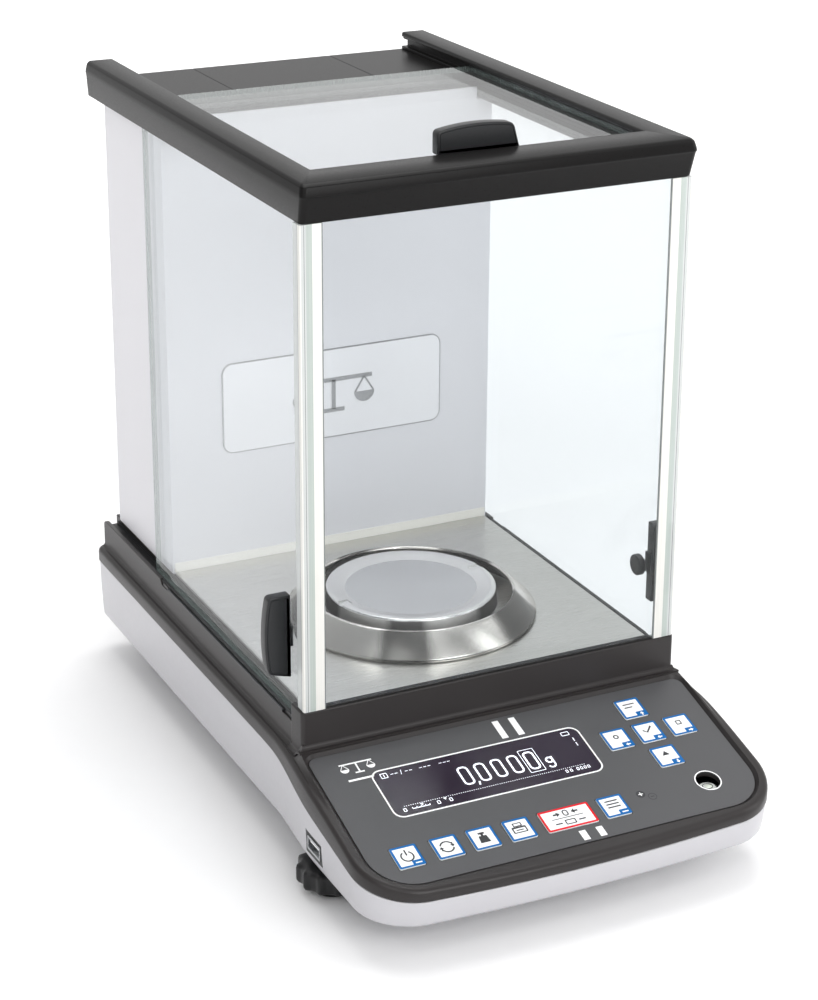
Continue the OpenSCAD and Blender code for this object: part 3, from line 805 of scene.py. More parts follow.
def make_riser():
    """Block across the front of the chamber with a cheek beside each door, and the fillet at its foot."""
    thick = 4.2
    rear = RISER_Y + 13.5
    front_r = 2.2
    right = [(0, RISER_Y)]
    right += arc((RISER_HALF - front_r, RISER_Y + front_r), front_r, -90, 0, 6)
    right += [(RISER_HALF, rear), (TRACK_WALL_IN, rear)]
    right += [(TRACK_WALL_IN, RISER_Y + thick), (0, RISER_Y + thick)]
    left = [(-x, y) for x, y in right[::-1] if x]
    shape = Shape().add(*prism(right + left, LEDGE_Z - 3, RISER_Z))
    piece("chamber_riser", shape, [COVER], bevel=0.9, segments=3)
    foot = Shape()
    foot_r = 2.4
    rings = []
    flank = [rear + 0.5] + [RISER_Y + step for step in (6.0, 4.8, 3.6, 2.4, 1.2)]
    path = [(-RISER_HALF, y) for y in flank] + [(-RISER_HALF, RISER_Y), (RISER_HALF, RISER_Y)]
    path += [(RISER_HALF, y) for y in flank[::-1]]
    for x, y in path:
        side = -1 if x < 0 else 1
        base = inner_top(y)
        corner = y == RISER_Y
        ring = [(x - side * 1.0, y + (1.0 if corner else 0), base - 1)]
        ring.append((x - side * 1.0, y + (1.0 if corner else 0), base + foot_r))
        for step in range(6):
            angle = math.radians(90 * step / 5)
            out = foot_r * (1 - math.sin(math.radians(90) - angle))
            rise = foot_r * (1 - math.sin(angle))
            ring.append((x + side * out, y - (out if corner else 0), base + rise))
        ring.append((x + side * foot_r, y - (foot_r if corner else 0), base - 1))
        rings.append(ring)
    foot.add(*loft(rings))
    piece("riser_fillet", foot, [COVER])


def make_deck():
    """Floor of the chamber under the steel plate, with the rear face of the cover's raised part."""
    half = 94.4
    front, rear = RISER_Y + 4.2, HALF_D - 3
    shape = Shape().add(*box((-half, front, LEDGE_Z - 2), (half, rear, DECK_Z)))
    deck = piece("chamber_deck", shape, [COVER])
    hollow = box((-half + 2, front + 2, LEDGE_Z - 10), (half - 2, rear - 2.5, DECK_Z - 2))
    cut(deck, [hollow, prism(circle(14), 60, 100)])
    soften(deck, 0.6, 2)


def make_ledge_walls():
    """Raised wall outside each door track: plain behind, with a ribbed strip along the door's travel."""
    inner, outer = TRACK_WALL_IN, LEDGE_HALF
    fillet = 1.8
    for side, name in ((-1, "left"), (1, "right")):
        rings = []
        for y, top in ((RISER_Y + 13.5, 75.8), (98.0, 75.8), (100.6, 78.6), (HALF_D - 6, 78.6),
                       (HALF_D - 3.9, 77.9), (HALF_D - 3, 75.8)):
            section = [(inner, LEDGE_Z - 2), (inner, top), (outer, top)]
            for angle in (0, 22, 45, 68, 90):
                turn = math.radians(angle)
                out, rise = fillet * (1 - math.cos(turn)), fillet * (1 - math.sin(turn))
                section.append((outer + out, LEDGE_Z + rise))
            section.append((outer + fillet, LEDGE_Z - 2))
            rings.append([(side * x, y, z) for x, z in section])
        wall = Shape().add(*loft(rings))
        wall.add(*box_between(side, (inner, 89.5, 75.6), (outer - 0.4, 97.0, 77.6)))
        piece(f"{name}_ledge_wall", wall, [COVER], bevel=0.35)
        strip = Shape()
        ribs = 3
        low, high = 75.9, 77.4
        width = (outer + 0.5 - inner) / ribs
        section = [(inner, low)]
        for rib in range(ribs):
            start = inner + rib * width
            end = start + width
            section += [(start, high - 0.55), (start + 0.12, high)]
            section += [(end - 0.2, high), (end - 0.08, high - 0.55)]
        section += [(outer + 0.5, low)]
        strip.add(*loft([[(side * x, y, z) for x, z in section] for y in (-68.0, 88.6)]))
        piece(f"{name}_ribbed_strip", strip, [GRIP], bevel=0.12)


def box_between(side, low, high):
    """Box mirrored to the left where side is -1."""
    xs = sorted((side * low[0], side * high[0]))
    return box((xs[0], low[1], low[2]), (xs[1], high[1], high[2]))


# ---- chamber -------------------------------------------------------------------------------------

def make_hood():
    """Mitred frame of one section along both rails and across the front."""
    top, low = HOOD_HIGH.z, HOOD_LOW.z
    crown = top - 5.8
    inner, bar = 86.5, 72.0
    glass_low, _ = box_mm("top_door_glass")
    pane_low, pane_high = box_mm("right_door_glass")
    slot_low, slot_high = glass_low.z - 0.5, glass_low.z + 3.5
    groove_top = pane_high.z + 0.6
    front = -RISER_Y
    section = [
        (inner, bar, low + 0.8), (inner + 0.8, bar + 0.8, low),
        (pane_low.x - 0.5, front - 4.2, low), (pane_low.x - 0.5, front - 4.2, groove_top),
        (pane_high.x + 0.5, front - 0.9, groove_top), (pane_high.x + 0.5, front - 0.9, low),
        (101.0, front - 0.2, low), (101.3, front + 0.3, low + 0.5),
        (102.1, front + 3.4, crown - 1.2), (102.4, front + 4.1, crown),
        (102.2, front + 3.9, crown + 1.4), (101.5, front + 3.0, top - 1.5),
        (100.6, front + 1.8, top - 0.5), (99.6, front + 0.5, top),
        (inner + 1.0, bar + 1.0, top), (inner + 0.3, bar + 0.3, top - 0.3), (inner, bar, top - 1.0),
        (inner, bar, top - 2.6), (inner + 0.9, bar + 0.6, top - 2.8), (inner + 0.9, bar + 0.6, slot_high),
        (90.0, 75.1, slot_high), (90.0, 75.1, slot_low), (inner, bar, slot_low),
    ]
    rear = HOOD_HIGH.y
    right = []
    for step in range(6):
        turn = math.radians(18 * step)
        ring = []
        for s, f, z in section:
            corner_r = 0.2 + 2.8 * min(max((s - 97.0) / 4.0, 0.0), 1.0)
            ring.append((s - corner_r * (1 - math.sin(turn)), -f + corner_r * (1 - math.cos(turn)), z))
        right.append(ring)
    right.append([(s, rear, z) for s, f, z in section])
    rings = [[(-x, y, z) for x, y, z in ring] for ring in right[::-1]] + right
    shape = Shape().add(*loft(rings))
    bar_top = top - 12.8
    shape.add(*box((-inner - 2, REAR_HIGH.y - 4, low + 0.1), (inner + 2, REAR_HIGH.y - 1, bar_top)))
    piece("hood_frame", shape, [HOOD], stands_for=["top_frame"], bevel=0.3, limit=28)
    for side, name in ((-1, "left"), (1, "right")):
        ribs = Shape()
        for rib in range(4):
            y_low, y_high = -60.0, rear - 2
            x = inner - 0.05
            z = low + 2.2 + rib * 2.0
            ribs.add(*box_between(side, (x - 0.35, y_low, z), (x + 0.4, y_high, z + 0.9)))
        piece(f"{name}_rail_ribs", ribs, [HOOD], bevel=0.15)


def make_pane(name, node, body, thin_axis):
    """Glass pane with ground edges: its two faces are clear and its rim is grey-green."""
    low, high = box_mm(node)
    chamfer = 0.35
    axes = [axis for axis in range(3) if axis != thin_axis]
    width, height = high[axes[0]] - low[axes[0]], high[axes[1]] - low[axes[1]]
    centre = ((low[axes[0]] + high[axes[0]]) / 2, (low[axes[1]] + high[axes[1]]) / 2)
    rings = []
    for level, inset in ((low[thin_axis], chamfer), (low[thin_axis] + chamfer, 0),
                         (high[thin_axis] - chamfer, 0), (high[thin_axis], chamfer)):
        ring = []
        for u, v in rounded(width - 2 * inset, height - 2 * inset, 1.2 - inset, centre, 3):
            point = [0, 0, 0]
            point[axes[0]], point[axes[1]], point[thin_axis] = u, v, level
            ring.append(tuple(point))
        rings.append(ring)
    shape = Shape().add(*loft(rings), mark=1)
    shape.marks[-2:] = [0, 0]
    piece(name, shape, [GLASS, GLASS_EDGE], body=body, stands_for=[node], smooth=20)


def make_corner_profiles():
    """Clear angle at each front corner, from the riser to the hood."""
    low, high = box_mm("corner_profiles")
    front, rear = low.y, high.y
    out = high.x
    shape = Shape()
    grey, green, white, dark = 0, 1, 2, 3
    for side in (-1, 1):
        # Bands across each profile: the white bands are painted highlights and the green band a painted view
        # of the front pane's edge through the clear profile; the grey bands are its own tone and the dark
        # ones thin dark lines.
        bands = [
            (90.4, front, dark), (91.0, front, white), (95.6, front, green), (98.6, front, grey),
            (99.4, front, dark), (99.7, front, grey), (out - 0.8, front, white),
            (out - 0.2, front + 0.2, white), (out, front + 0.8, white), (out, front + 2.2, dark),
            (out, front + 2.6, grey), (out, rear, grey), (99.8, rear, white), (99.6, front + 4.0, white),
            (94.2, front + 4.0, white), (94.1, front + 1.0, white), (90.4, front + 0.95, dark),
        ]
        start = len(shape.marks)
        shape.add(*prism([(side * x, y) for x, y, _ in bands], low.z, high.z))
        for index, (_, _, mark) in enumerate(bands):
            shape.marks[start + index] = mark
    looks = [PROFILE, PROFILE_PAINTED_PANE_EDGE, PROFILE_PAINTED_HIGHLIGHT, PROFILE_DARK]
    piece("corner_posts", shape, looks, stands_for=["corner_profiles"])


def make_glass_seal():
    """Black lip between the riser and the foot of the front glass."""
    half = 90.0
    front, rear = RISER_Y + 0.8, RISER_Y + 4.2
    shape = Shape().add(*box((-half, front, RISER_Z + 0.02), (half, rear, RISER_Z + 1.0)))
    piece("front_glass_seal", shape, [BLACK], bevel=0.3)


def make_tower():
    half = WALL_HIGH.x
    inner_half = 86.2
    step_z = REAR_HIGH.z
    outline = [
        (-half, WALL_LOW.z), (half, WALL_LOW.z), (half, step_z), (inner_half, step_z),
        (inner_half, WALL_HIGH.z), (-inner_half, WALL_HIGH.z), (-inner_half, step_z), (-half, step_z),
    ]
    shape = Shape().add(*loft([[(x, y, z) for x, z in outline] for y in (WALL_LOW.y, WALL_HIGH.y)]))
    piece("tower_front_panel", shape, [TOWER], stands_for=["tower_front_wall"], bevel=0.6,
          segments=3)
    corner = 4.0
    rear = REAR_HIGH.y
    right = [(half, REAR_LOW.y)]
    right += arc((half - corner, rear - corner), corner, 0, 90, 6)
    inside = list(arc((half - corner, rear - corner), corner - WALL_T, 90, 0, 6))
    inside.append((half - WALL_T, REAR_LOW.y))
    left = [(-x, y) for x, y in right[::-1]]
    inside_left = [(-x, y) for x, y in inside[::-1]]
    shape = Shape().add(*prism(right + left + inside_left + inside, REAR_LOW.z, REAR_HIGH.z))
    piece("tower_rear_shell", shape, [TOWER], stands_for=["tower_rear_cover"], bevel=0.4)


def make_plate():
    """Blank name plate on the column: a thin satin plate with a bright chamfered edge and a plain emblem."""
    low, high = box_mm("blank_plate")
    centre = ((low.x + high.x) / 2, (low.z + high.z) / 2)
    width, height = high.x - low.x, high.z - low.z
    rings = []
    for y, inset in ((high.y, 0), (low.y + 0.3, 0), (low.y, 0.3), (low.y, 0.6), (low.y + 0.08, 0.7)):
        outline = rounded(width - 2 * inset, height - 2 * inset, 6 - inset, centre, 8)
        rings.append([(x, y, z) for x, z in outline])
    shape = Shape().add(*loft(rings), mark=1)
    shape.marks[-1] = 0
    emblem = moved(centre[0], low.y + 0.1, centre[1]) @ turned_by(90, "X")
    for loops in balance_emblem(46.0):
        shape.add(*slab(loops, 0.0, 0.35), mark=1, place=emblem)
    piece("column_plate", shape, [PLATE, PLATE_EDGE], stands_for=["blank_plate"])


def balance_emblem(width):
    """Plain pictogram of a two-pan balance, as loops for slab()."""
    w = width
    bar = stroke([(-w / 2, 0.17 * w), (w / 2, 0.17 * w)], 0.05 * w)
    post = stroke([(0, -0.2 * w), (0, 0.17 * w)], 0.05 * w)
    foot = stroke([(-0.14 * w, -0.21 * w), (0.14 * w, -0.21 * w)], 0.05 * w)
    shapes = [[bar], [post], [foot]]
    for side in (-1, 1):
        x = side * 0.4 * w
        pan = [(x - 0.13 * w, -0.03 * w)] + list(arc((x, -0.03 * w), 0.13 * w, 180, 360, 12))[1:]
        shapes.append([pan])
        for end in (-0.12, 0.12):
            shapes.append([stroke([(x, 0.16 * w), (x + end * w, -0.03 * w)], 0.02 * w)])
    return shapes


def make_top_cover():
    low, high = box_mm("top_rear_cover")
    shape = Shape().add(*box(low, (high.x, high.y, high.z)))
    cover = piece("hood_rear_cover", shape, [HOOD], stands_for=["top_rear_cover"])
    lines = [box((x, low.y - 1, high.z - 0.3), (x + 0.35, high.y + 1, high.z + 1)) for x in (-41, 41)]
    cut(cover, lines)
    soften(cover, 0.25, 2)


def softened(corners, steps=5):
    """Outline through corners of (x, y, setback): each corner is rounded from its setback on both sides."""
    points = []
    for index, (x, y, setback) in enumerate(corners):
        corner = Vector((x, y))
        if not setback:
            points.append((x, y))
            continue
        before = Vector(corners[index - 1][:2])
        after = Vector(corners[(index + 1) % len(corners)][:2])
        start = corner + (before - corner).normalized() * setback
        end = corner + (after - corner).normalized() * setback
        for step in range(steps + 1):
            share = step / steps
            point = start * (1 - share) ** 2 + corner * 2 * share * (1 - share) + end * share ** 2
            points.append(tuple(point))
    return points


def inset_loop(points, distance):
    """Outline moved inwards by a distance, for a counter-clockwise outline."""
    inner = []
    for index, point in enumerate(points):
        before = Vector(point) - Vector(points[index - 1])
        after = Vector(points[(index + 1) % len(points)]) - Vector(point)
        normal = (before.normalized() + after.normalized()).normalized()
        normal = Vector((-normal.y, normal.x))
        stretch = max(normal.dot(Vector((-after.y, after.x)).normalized()), 0.5)
        inner.append(tuple(Vector(point) + normal * distance / stretch))
    return inner


def paddle_outline(length, reach, slanted):
    """Grip seen from its broad side, foot at height 0: arched outside, with one slanting end."""
    foot_half, width, slant, bow_r = 5.5, 13.5, 4.0, 105.0
    foot = reach - width
    half = length / 2
    ends = []
    for x in (half - slant * 0.8, -half):
        ends.append((x, reach - bow_r + math.sqrt(bow_r ** 2 - x ** 2)))
    (right, right_z), (left, left_z) = ends
    corners = [(-foot_half, 0, 0), (foot_half, 0, 0), (foot_half, foot, 0), (half, foot, 0.8)]
    corners.append((right, right_z, 2.6))
    for step in range(1, 10):
        x = right + (left - right) * step / 10
        corners.append((x, reach - bow_r + math.sqrt(bow_r ** 2 - x ** 2), 0))
    corners += [(left, left_z, 2.2), (left, foot, 0.8), (-foot_half, foot, 0)]
    points = softened(corners)
    if slanted < 0:
        points = [(-x, y) for x, y in points[::-1]]
    return points


def paddle_shape(length, reach, thickness, place, slanted=1):
    """Grip lofted through its thickness: rounded edges and a fine groove round each broad face."""
    outline = paddle_outline(length, reach, slanted)
    half = thickness / 2
    rows = [(half, 2.1), (half, 1.5), (half - 0.28, 1.35), (half - 0.28, 1.15), (half, 1.0), (half, 0.75),
            (half - 0.12, 0.35), (half - 0.4, 0.08), (half - 0.8, 0.0)]
    rows = [(-level, inset) for level, inset in rows] + rows[::-1]
    rings = []
    for level, inset in rows:
        rings.append([place @ Vector((x, level, y)) for x, y in inset_loop(outline, inset)])
    return loft(rings)


def make_grips():
    for side, name in ((-1, "left"), (1, "right")):
        low, high = box_mm(f"{name}_door_grip")
        glass_low, glass_high = box_mm(f"{name}_door_glass")
        centre = ((low.y + high.y) / 2, (low.z + high.z) / 2)
        face = glass_high.x if side > 0 else glass_low.x
        reach = high.x - face if side > 0 else face - low.x
        place = moved(face, *centre) @ turned_by(90 * side, "Y")
        shape = Shape().add(*paddle_shape(high.z - low.z, reach, high.y - low.y, place, side))
        piece(f"{name}_side_grip", shape, [GRIP], body=f"{name}_door",
              stands_for=[f"{name}_door_grip"], smooth=32)
        knob_low, knob_high = box_mm(f"{name}_door_knob")
        reach_in = knob_high.x - knob_low.x
        radius = (knob_high.y - knob_low.y) / 2
        start = knob_high.x if side > 0 else knob_low.x
        place = moved(start, *centre) @ turned_by(-90 * side, "Y")
        profile = [
            (0, 0), (3.6, 0), (3.6, 1.1), (radius - 0.4, 1.15), (radius, 1.5), (radius, reach_in - 0.7),
            (radius - 0.2, reach_in - 0.25), (radius - 0.7, reach_in), (3.4, reach_in),
            (3.2, reach_in - 0.2), (0, reach_in - 0.2),
        ]
        verts, faces = revolve(profile, 40)
        shape = Shape().add(verts, faces, place=place)
        piece(f"{name}_inner_knob", shape, [GRIP], body=f"{name}_door",
              stands_for=[f"{name}_door_knob"])
    low, high = box_mm("top_door_grip")
    _, glass_high = box_mm("top_door_glass")
    place = moved((low.x + high.x) / 2, (low.y + high.y) / 2, glass_high.z)
    shape = Shape().add(*paddle_shape(high.x - low.x, high.z - glass_high.z, high.y - low.y, place))
    piece("top_grip", shape, [GRIP], body="top_door",
          stands_for=["top_door_grip"], smooth=32)


# ---- control panel -------------------------------------------------------------------------------

KEY_NODES = ["key_power", "key_resolution", "key_adjust", "key_print", "key_zero", "key_menu",
             "key_up", "key_left", "key_enter", "key_right", "key_down"]
KEY_GAP = 0.4
KEY_LOW, KEY_TOP = 0.36, 1.05


def key_size(node):
    low, high = box_mm(node)
    return Vector((high.x - low.x, (high.y - low.y - 1.6 * math.sin(TILT)) / math.cos(TILT)))


def make_foil():
    loops = [panel_outline(0)]
    window = centre_on_panel("display_window")
    loops.append(rounded(WINDOW_SIZE.x, WINDOW_SIZE.y, 4.4, window, 8))
    loops.append(circle(LEVEL_R, level_spot(), 40))
    for node in KEY_NODES:
        size = KEY_SIZES[node]
        loops.append(rounded(size.x + 2 * KEY_GAP, size.y + 2 * KEY_GAP, 1.2, centre_on_panel(node), 4))
    shape = Shape().add(*slab(loops, 0.03, FOIL_TOP), place=PANEL)
    ink = FOIL_TOP + 0.03
    level = level_spot()
    prints = [
        [rounded(WINDOW_SIZE.x + 1.6, WINDOW_SIZE.y + 1.6, 5.2, window, 10),
         rounded(WINDOW_SIZE.x, WINDOW_SIZE.y, 4.4, window, 10)],
        [circle(LEVEL_R + 0.65, level, 48), circle(LEVEL_R + 0.05, level, 48)],
    ]
    for loops in balance_emblem(17.0):
        prints.append([[(x - 81.5, y - 16.5) for x, y in loop] for loop in loops])
    for x in (-9.5, -0.5):
        for low, high in ((-19.8, -7.2), (-94.2, -88.0)):
            start = x + (4.6 if low > -50 else 10.0)
            prints.append([[(start, low), (start + 3.4, low), (start + 3.4, high), (start, high)]])
    prints.append([stroke([(-89.5, -24.6), (-73.5, -24.6)], 1.2)])
    for loops in prints:
        shape.add(*slab(loops, FOIL_TOP, ink), mark=1, place=PANEL)
    first, second = (41.6, -75.0), (46.6, -78.0)
    shape.add(*slab([circle(2.3, first, 28)], FOIL_TOP, ink), mark=2, place=PANEL)
    shape.add(*slab([circle(2.2, second, 28), circle(1.9, second, 28)], FOIL_TOP, ink), mark=2, place=PANEL)
    for turn in (0, 1):
        bar = stroke([(-1.2 * (1 - turn), -1.2 * turn), (1.2 * (1 - turn), 1.2 * turn)], 0.5)
        shape.add(*slab([shifted(bar, *first)], ink, ink + 0.02), mark=1, place=PANEL)
    bar = shifted(stroke([(-1.0, 0), (1.0, 0)], 0.4), *second)
    shape.add(*slab([bar], FOIL_TOP, ink), mark=2, place=PANEL)
    piece("foil_keypad", shape, [FOIL, PRINT_WHITE, PRINT_DARK],
          stands_for=["panel_foil"], smooth=20)


def make_screen():
    """Glossy window with the lit read-out: a row of zeros, a decimal mark, a unit and small state marks."""
    centre = centre_on_panel("display_window")
    shape = Shape()
    rings = []
    for z, inset in ((0.04, 0.12), (0.5, 0.12), (0.66, 0.3)):
        outline = rounded(WINDOW_SIZE.x - 2 * inset, WINDOW_SIZE.y - 2 * inset, 4.3 - inset, centre, 8)
        rings.append([PANEL @ Vector((x, y, z)) for x, y in outline])
    shape.add(*loft(rings))
    lit = []
    digit_w, digit_h, line, pitch = 5.8, 12.4, 0.95, 8.9
    left = centre.x - 12.0
    middle = centre.y + 0.4
    places = [left + pitch * index for index in range(5)]
    for x in places:
        lit.append([rounded(digit_w, digit_h, 2.3, (x, middle), 5),
                    rounded(digit_w - 2 * line, digit_h - 2 * line, 1.4, (x, middle), 4)])
    lit.append([stroke([(left + 4.6, middle - 5.4), (left + 4.0, middle - 7.6)], 0.9)])
    frame_x = places[-1]
    lit.append([rounded(digit_w + 2.6, digit_h + 3.4, 0.5, (frame_x, middle), 2),
                rounded(digit_w + 2.0, digit_h + 2.8, 0.3, (frame_x, middle), 2)])
    unit = (frame_x + 8.6, middle - 2.2)
    lit.append([circle(2.1, unit, 24), circle(1.15, unit, 24)])
    lit.append([stroke([(unit[0] + 1.7, unit[1] + 2.1), (unit[0] + 1.7, unit[1] - 3.2)], 0.9)])
    lit.append([stroke(list(arc((unit[0] - 0.1, unit[1] - 3.2), 1.8, 0, -160, 8)), 0.85)])
    top = centre.y + WINDOW_SIZE.y / 2 - 3.6
    edge = centre.x - WINDOW_SIZE.x / 2 + 5.5
    lit.append([rounded(3.6, 3.4, 0.4, (edge, top), 2), rounded(2.9, 2.7, 0.3, (edge, top), 2)])
    lit.append([stroke([(edge, top - 0.9), (edge, top + 0.9)], 0.4)])
    lit.append([stroke([(edge + 8.6, top - 1.5), (edge + 9.3, top + 1.5)], 0.3)])
    for x in (3.4, 5.6, 11.0, 13.2, 18.6, 20.8, 23.0, 29.0, 31.2, 33.4):
        lit.append([stroke([(edge + x, top), (edge + x + 1.5, top)], 0.34)])
    right = centre.x + WINDOW_SIZE.x / 2 - 6.0
    battery = (right - 1.0, top + 0.4)
    lit.append([rounded(4.4, 2.6, 0.5, battery, 2), rounded(3.7, 1.9, 0.3, battery, 2)])
    for y in (-6.6, -3.2):
        lit.append([stroke([(right + 1.4, top + y), (right + 1.4, top + y - 2.4)], 0.5)])
    bottom = centre.y - WINDOW_SIZE.y / 2 + 3.4
    dots = int((WINDOW_SIZE.x - 12) / 1.15)
    for step in range(dots):
        x = edge + 0.4 + step * 1.15
        lit.append([stroke([(x, bottom + 2.6), (x + 0.45, bottom + 2.6)], 0.3)])
    lit.append([stroke([(edge + 4.0, bottom), (edge + 13.0, bottom)], 0.45)])
    for step in range(5):
        x = edge + 4.0 + step * 2.25
        lit.append([stroke([(x, bottom), (x, bottom + 0.9)], 0.35)])
    for x in (edge + 9.4, edge + 21.5):
        lit.append([[(x - 0.9, bottom + 2.1), (x + 0.9, bottom + 2.1), (x, bottom + 0.8)]])
    for x in (edge, edge + 17.6, edge + 24.0):
        spot = (x, bottom + 0.2)
        lit.append([rounded(1.7, 2.2, 0.4, spot, 2), rounded(1.0, 1.5, 0.2, spot, 2)])
    for x in (right - 12.6, right - 10.2, right - 6.6, right - 4.6, right - 2.6, right - 0.6):
        spot = (x, bottom + 0.6)
        lit.append([rounded(1.3, 1.9, 0.3, spot, 2), rounded(0.75, 1.3, 0.2, spot, 2)])
    for loops in lit:
        shape.add(*slab(loops, 0.66, 0.7), mark=1, place=PANEL)
    piece("display_screen", shape, [SCREEN, LIT],
          stands_for=["display_window"], smooth=20)


def arrow(direction, size):
    """Arrow as a loop: a head and a short shaft."""
    turn = {"up": 90, "left": 180, "right": 0, "down": 270}[direction]
    angle = math.radians(turn)
    points = [(size * 0.5, 0), (0.0, size * 0.42), (0.0, size * 0.14), (-size * 0.5, size * 0.14),
              (-size * 0.5, -size * 0.14), (0.0, -size * 0.14), (0.0, -size * 0.42)]
    across, up = math.cos(angle), math.sin(angle)
    return [(x * across - y * up, x * up + y * across) for x, y in points]


def key_icons():
    """Plain pictograms, as loops round each key's centre."""
    half_turn = list(arc((0, 0), 3.0, 120, 420, 20))
    icons = {
        "key_power": [[stroke(half_turn, 0.8)], [stroke([(0, 0.6), (0, 4.2)], 0.8)]],
        "key_resolution": [[stroke(list(arc((0, 0), 3.2, 30, 160, 12)), 0.8)],
                           [stroke(list(arc((0, 0), 3.2, 210, 340, 12)), 0.8)],
                           [shifted(arrow("down", 2.8), 3.0, 0.8)], [shifted(arrow("up", 2.8), -3.0, -0.8)]],
        "key_adjust": [[[(-2.6, -3.0), (2.6, -3.0), (2.0, 1.4), (-2.0, 1.4)]],
                       [stroke([(0, 1.2), (0, 2.8)], 1.3)], [stroke([(-1.6, 3.0), (1.6, 3.0)], 1.1)]],
        "key_print": [[rounded(7.4, 4.0, 0.6, (0, -0.4)), rounded(6.0, 2.4, 0.3, (0, -0.6))],
                      [rounded(4.6, 2.4, 0.2, (0, 2.9), 2), rounded(3.4, 1.3, 0.15, (0, 2.9), 2)],
                      [stroke([(-1.9, -0.6), (1.9, -0.6)], 0.6)]],
        "key_zero": [[rounded(3.0, 3.9, 1.3, (0, 3.0)), rounded(1.7, 2.6, 0.7, (0, 3.0))],
                     [shifted(arrow("right", 3.6), -4.8, 3.0)], [shifted(arrow("left", 3.6), 4.8, 3.0)],
                     [stroke([(-8.4, 0.2), (8.4, 0.2)], 0.45)],
                     [rounded(5.6, 3.2, 0.5, (0, -2.9)), rounded(4.4, 2.0, 0.3, (0, -2.9))],
                     [stroke([(-8.0, -2.9), (-4.4, -2.9)], 0.8)], [stroke([(4.4, -2.9), (8.0, -2.9)], 0.8)]],
        "key_menu": [[stroke([(-3.4, y), (3.4, y)], 0.8)] for y in (3.4, 1.4, -0.6)],
        "key_up": [[stroke([(-3.2, 3.0), (3.2, 3.0)], 0.7)], [stroke([(-3.2, 0.8), (1.2, 0.8)], 0.7)]],
        "key_left": [[circle(1.5, (0, 1.4), 20), circle(0.8, (0, 1.4), 20)]],
        "key_enter": [[stroke([(-2.6, 1.6), (-0.8, -0.2), (2.8, 3.6)], 0.9)]],
        "key_right": [[rounded(3.0, 3.0, 0.3, (0, 1.6), 2), rounded(1.8, 1.8, 0.2, (0, 1.6), 2)]],
        "key_down": [[[(-2.0, 0.4), (2.0, 0.4), (0, 3.4)]]],
    }
    return icons


def shifted(loop, x, y):
    return [(px + x, py + y) for px, py in loop]


def make_keys():
    tags = {"key_power": None, "key_menu": None, "key_up": "up", "key_left": "left", "key_enter": "left",
            "key_right": "right", "key_down": "down"}
    icons = key_icons()
    for node in KEY_NODES:
        size = KEY_SIZES[node]
        spot = centre_on_panel(node)
        place = PANEL @ moved(spot.x, spot.y, 0)
        shape = Shape()
        rings = []
        for z, inset in ((KEY_LOW, 0.0), (KEY_TOP - 0.12, 0.0), (KEY_TOP, 0.1)):
            outline = rounded(size.x - 2 * inset, size.y - 2 * inset, 1.0 - inset / 2, steps=5)
            rings.append([Vector((x, y, z)) for x, y in outline])
        shape.add(*loft(rings), place=place)
        ink = KEY_TOP + 0.03
        border = 3 if node == "key_zero" else 1
        line = 1.15
        ring = [rounded(size.x - 0.1, size.y - 0.1, 1.0, steps=4),
                rounded(size.x - 0.1 - 2 * line, size.y - 0.1 - 2 * line, 0.3, steps=4)]
        shape.add(*slab(ring, KEY_TOP, ink), mark=border, place=place)
        for loops in icons[node]:
            shape.add(*slab(loops, KEY_TOP, ink), mark=2, place=place)
        if node in tags:
            wide, tall = (6.0, 3.6)
            corner = (size.x / 2 - 0.05 - wide / 2, -size.y / 2 + 0.05 + tall / 2)
            shape.add(*slab([rounded(wide, tall, 0.4, corner, 2)], KEY_TOP, ink + 0.02), mark=1, place=place)
            if tags[node]:
                mark = shifted(arrow(tags[node], 2.6), *corner)
            else:
                mark = stroke([(corner[0] - 1.6, corner[1]), (corner[0] + 1.6, corner[1])], 0.7)
            shape.add(*slab([mark], ink + 0.02, ink + 0.04), mark=4, place=place)
        piece(f"{node}_printed", shape, [KEY, PRINT_BLUE, PRINT_DARK, PRINT_RED, PRINT_WHITE],
              body=f"{node}_cap", stands_for=[node], smooth=20)


def make_level():
    """Round bubble level under its window: the liquid, a thin dark ring mark and the bubble."""
    low, high = box_mm("level_vial")
    centre = ((low.x + high.x) / 2, (low.y + high.y) / 2)
    radius = (high.x - low.x) / 2
    place = moved(*centre, 0)
    crown = high.z + 3.4
    profile = [(0, low.z), (radius, low.z), (radius, high.z - 0.2), (radius - 0.8, crown - 1.0),
               (radius - 1.5, crown - 0.3), (0, crown)]
    shape = Shape().add(*revolve(profile, 48), place=place)
    mark_r = radius * 0.42
    top = crown - 0.1
    ring = [(mark_r, top - 0.2), (mark_r + 0.3, top - 0.2), (mark_r + 0.3, top + 0.12), (mark_r, top + 0.12)]
    shape.add(*revolve(ring, 48), mark=2, place=place)
    bubble = [(0, top - 0.5), (1.4, top - 0.4), (2.0, top), (1.4, top + 0.3), (0, top + 0.42)]
    offset = place @ moved(0.4, -0.3, 0)
    shape.add(*revolve(bubble, 32), mark=1, place=offset)
    piece("level_bubble", shape, [VIAL, BUBBLE, PRINT_DARK], stands_for=["level_vial"])


# ---- weighing parts ------------------------------------------------------------------------------

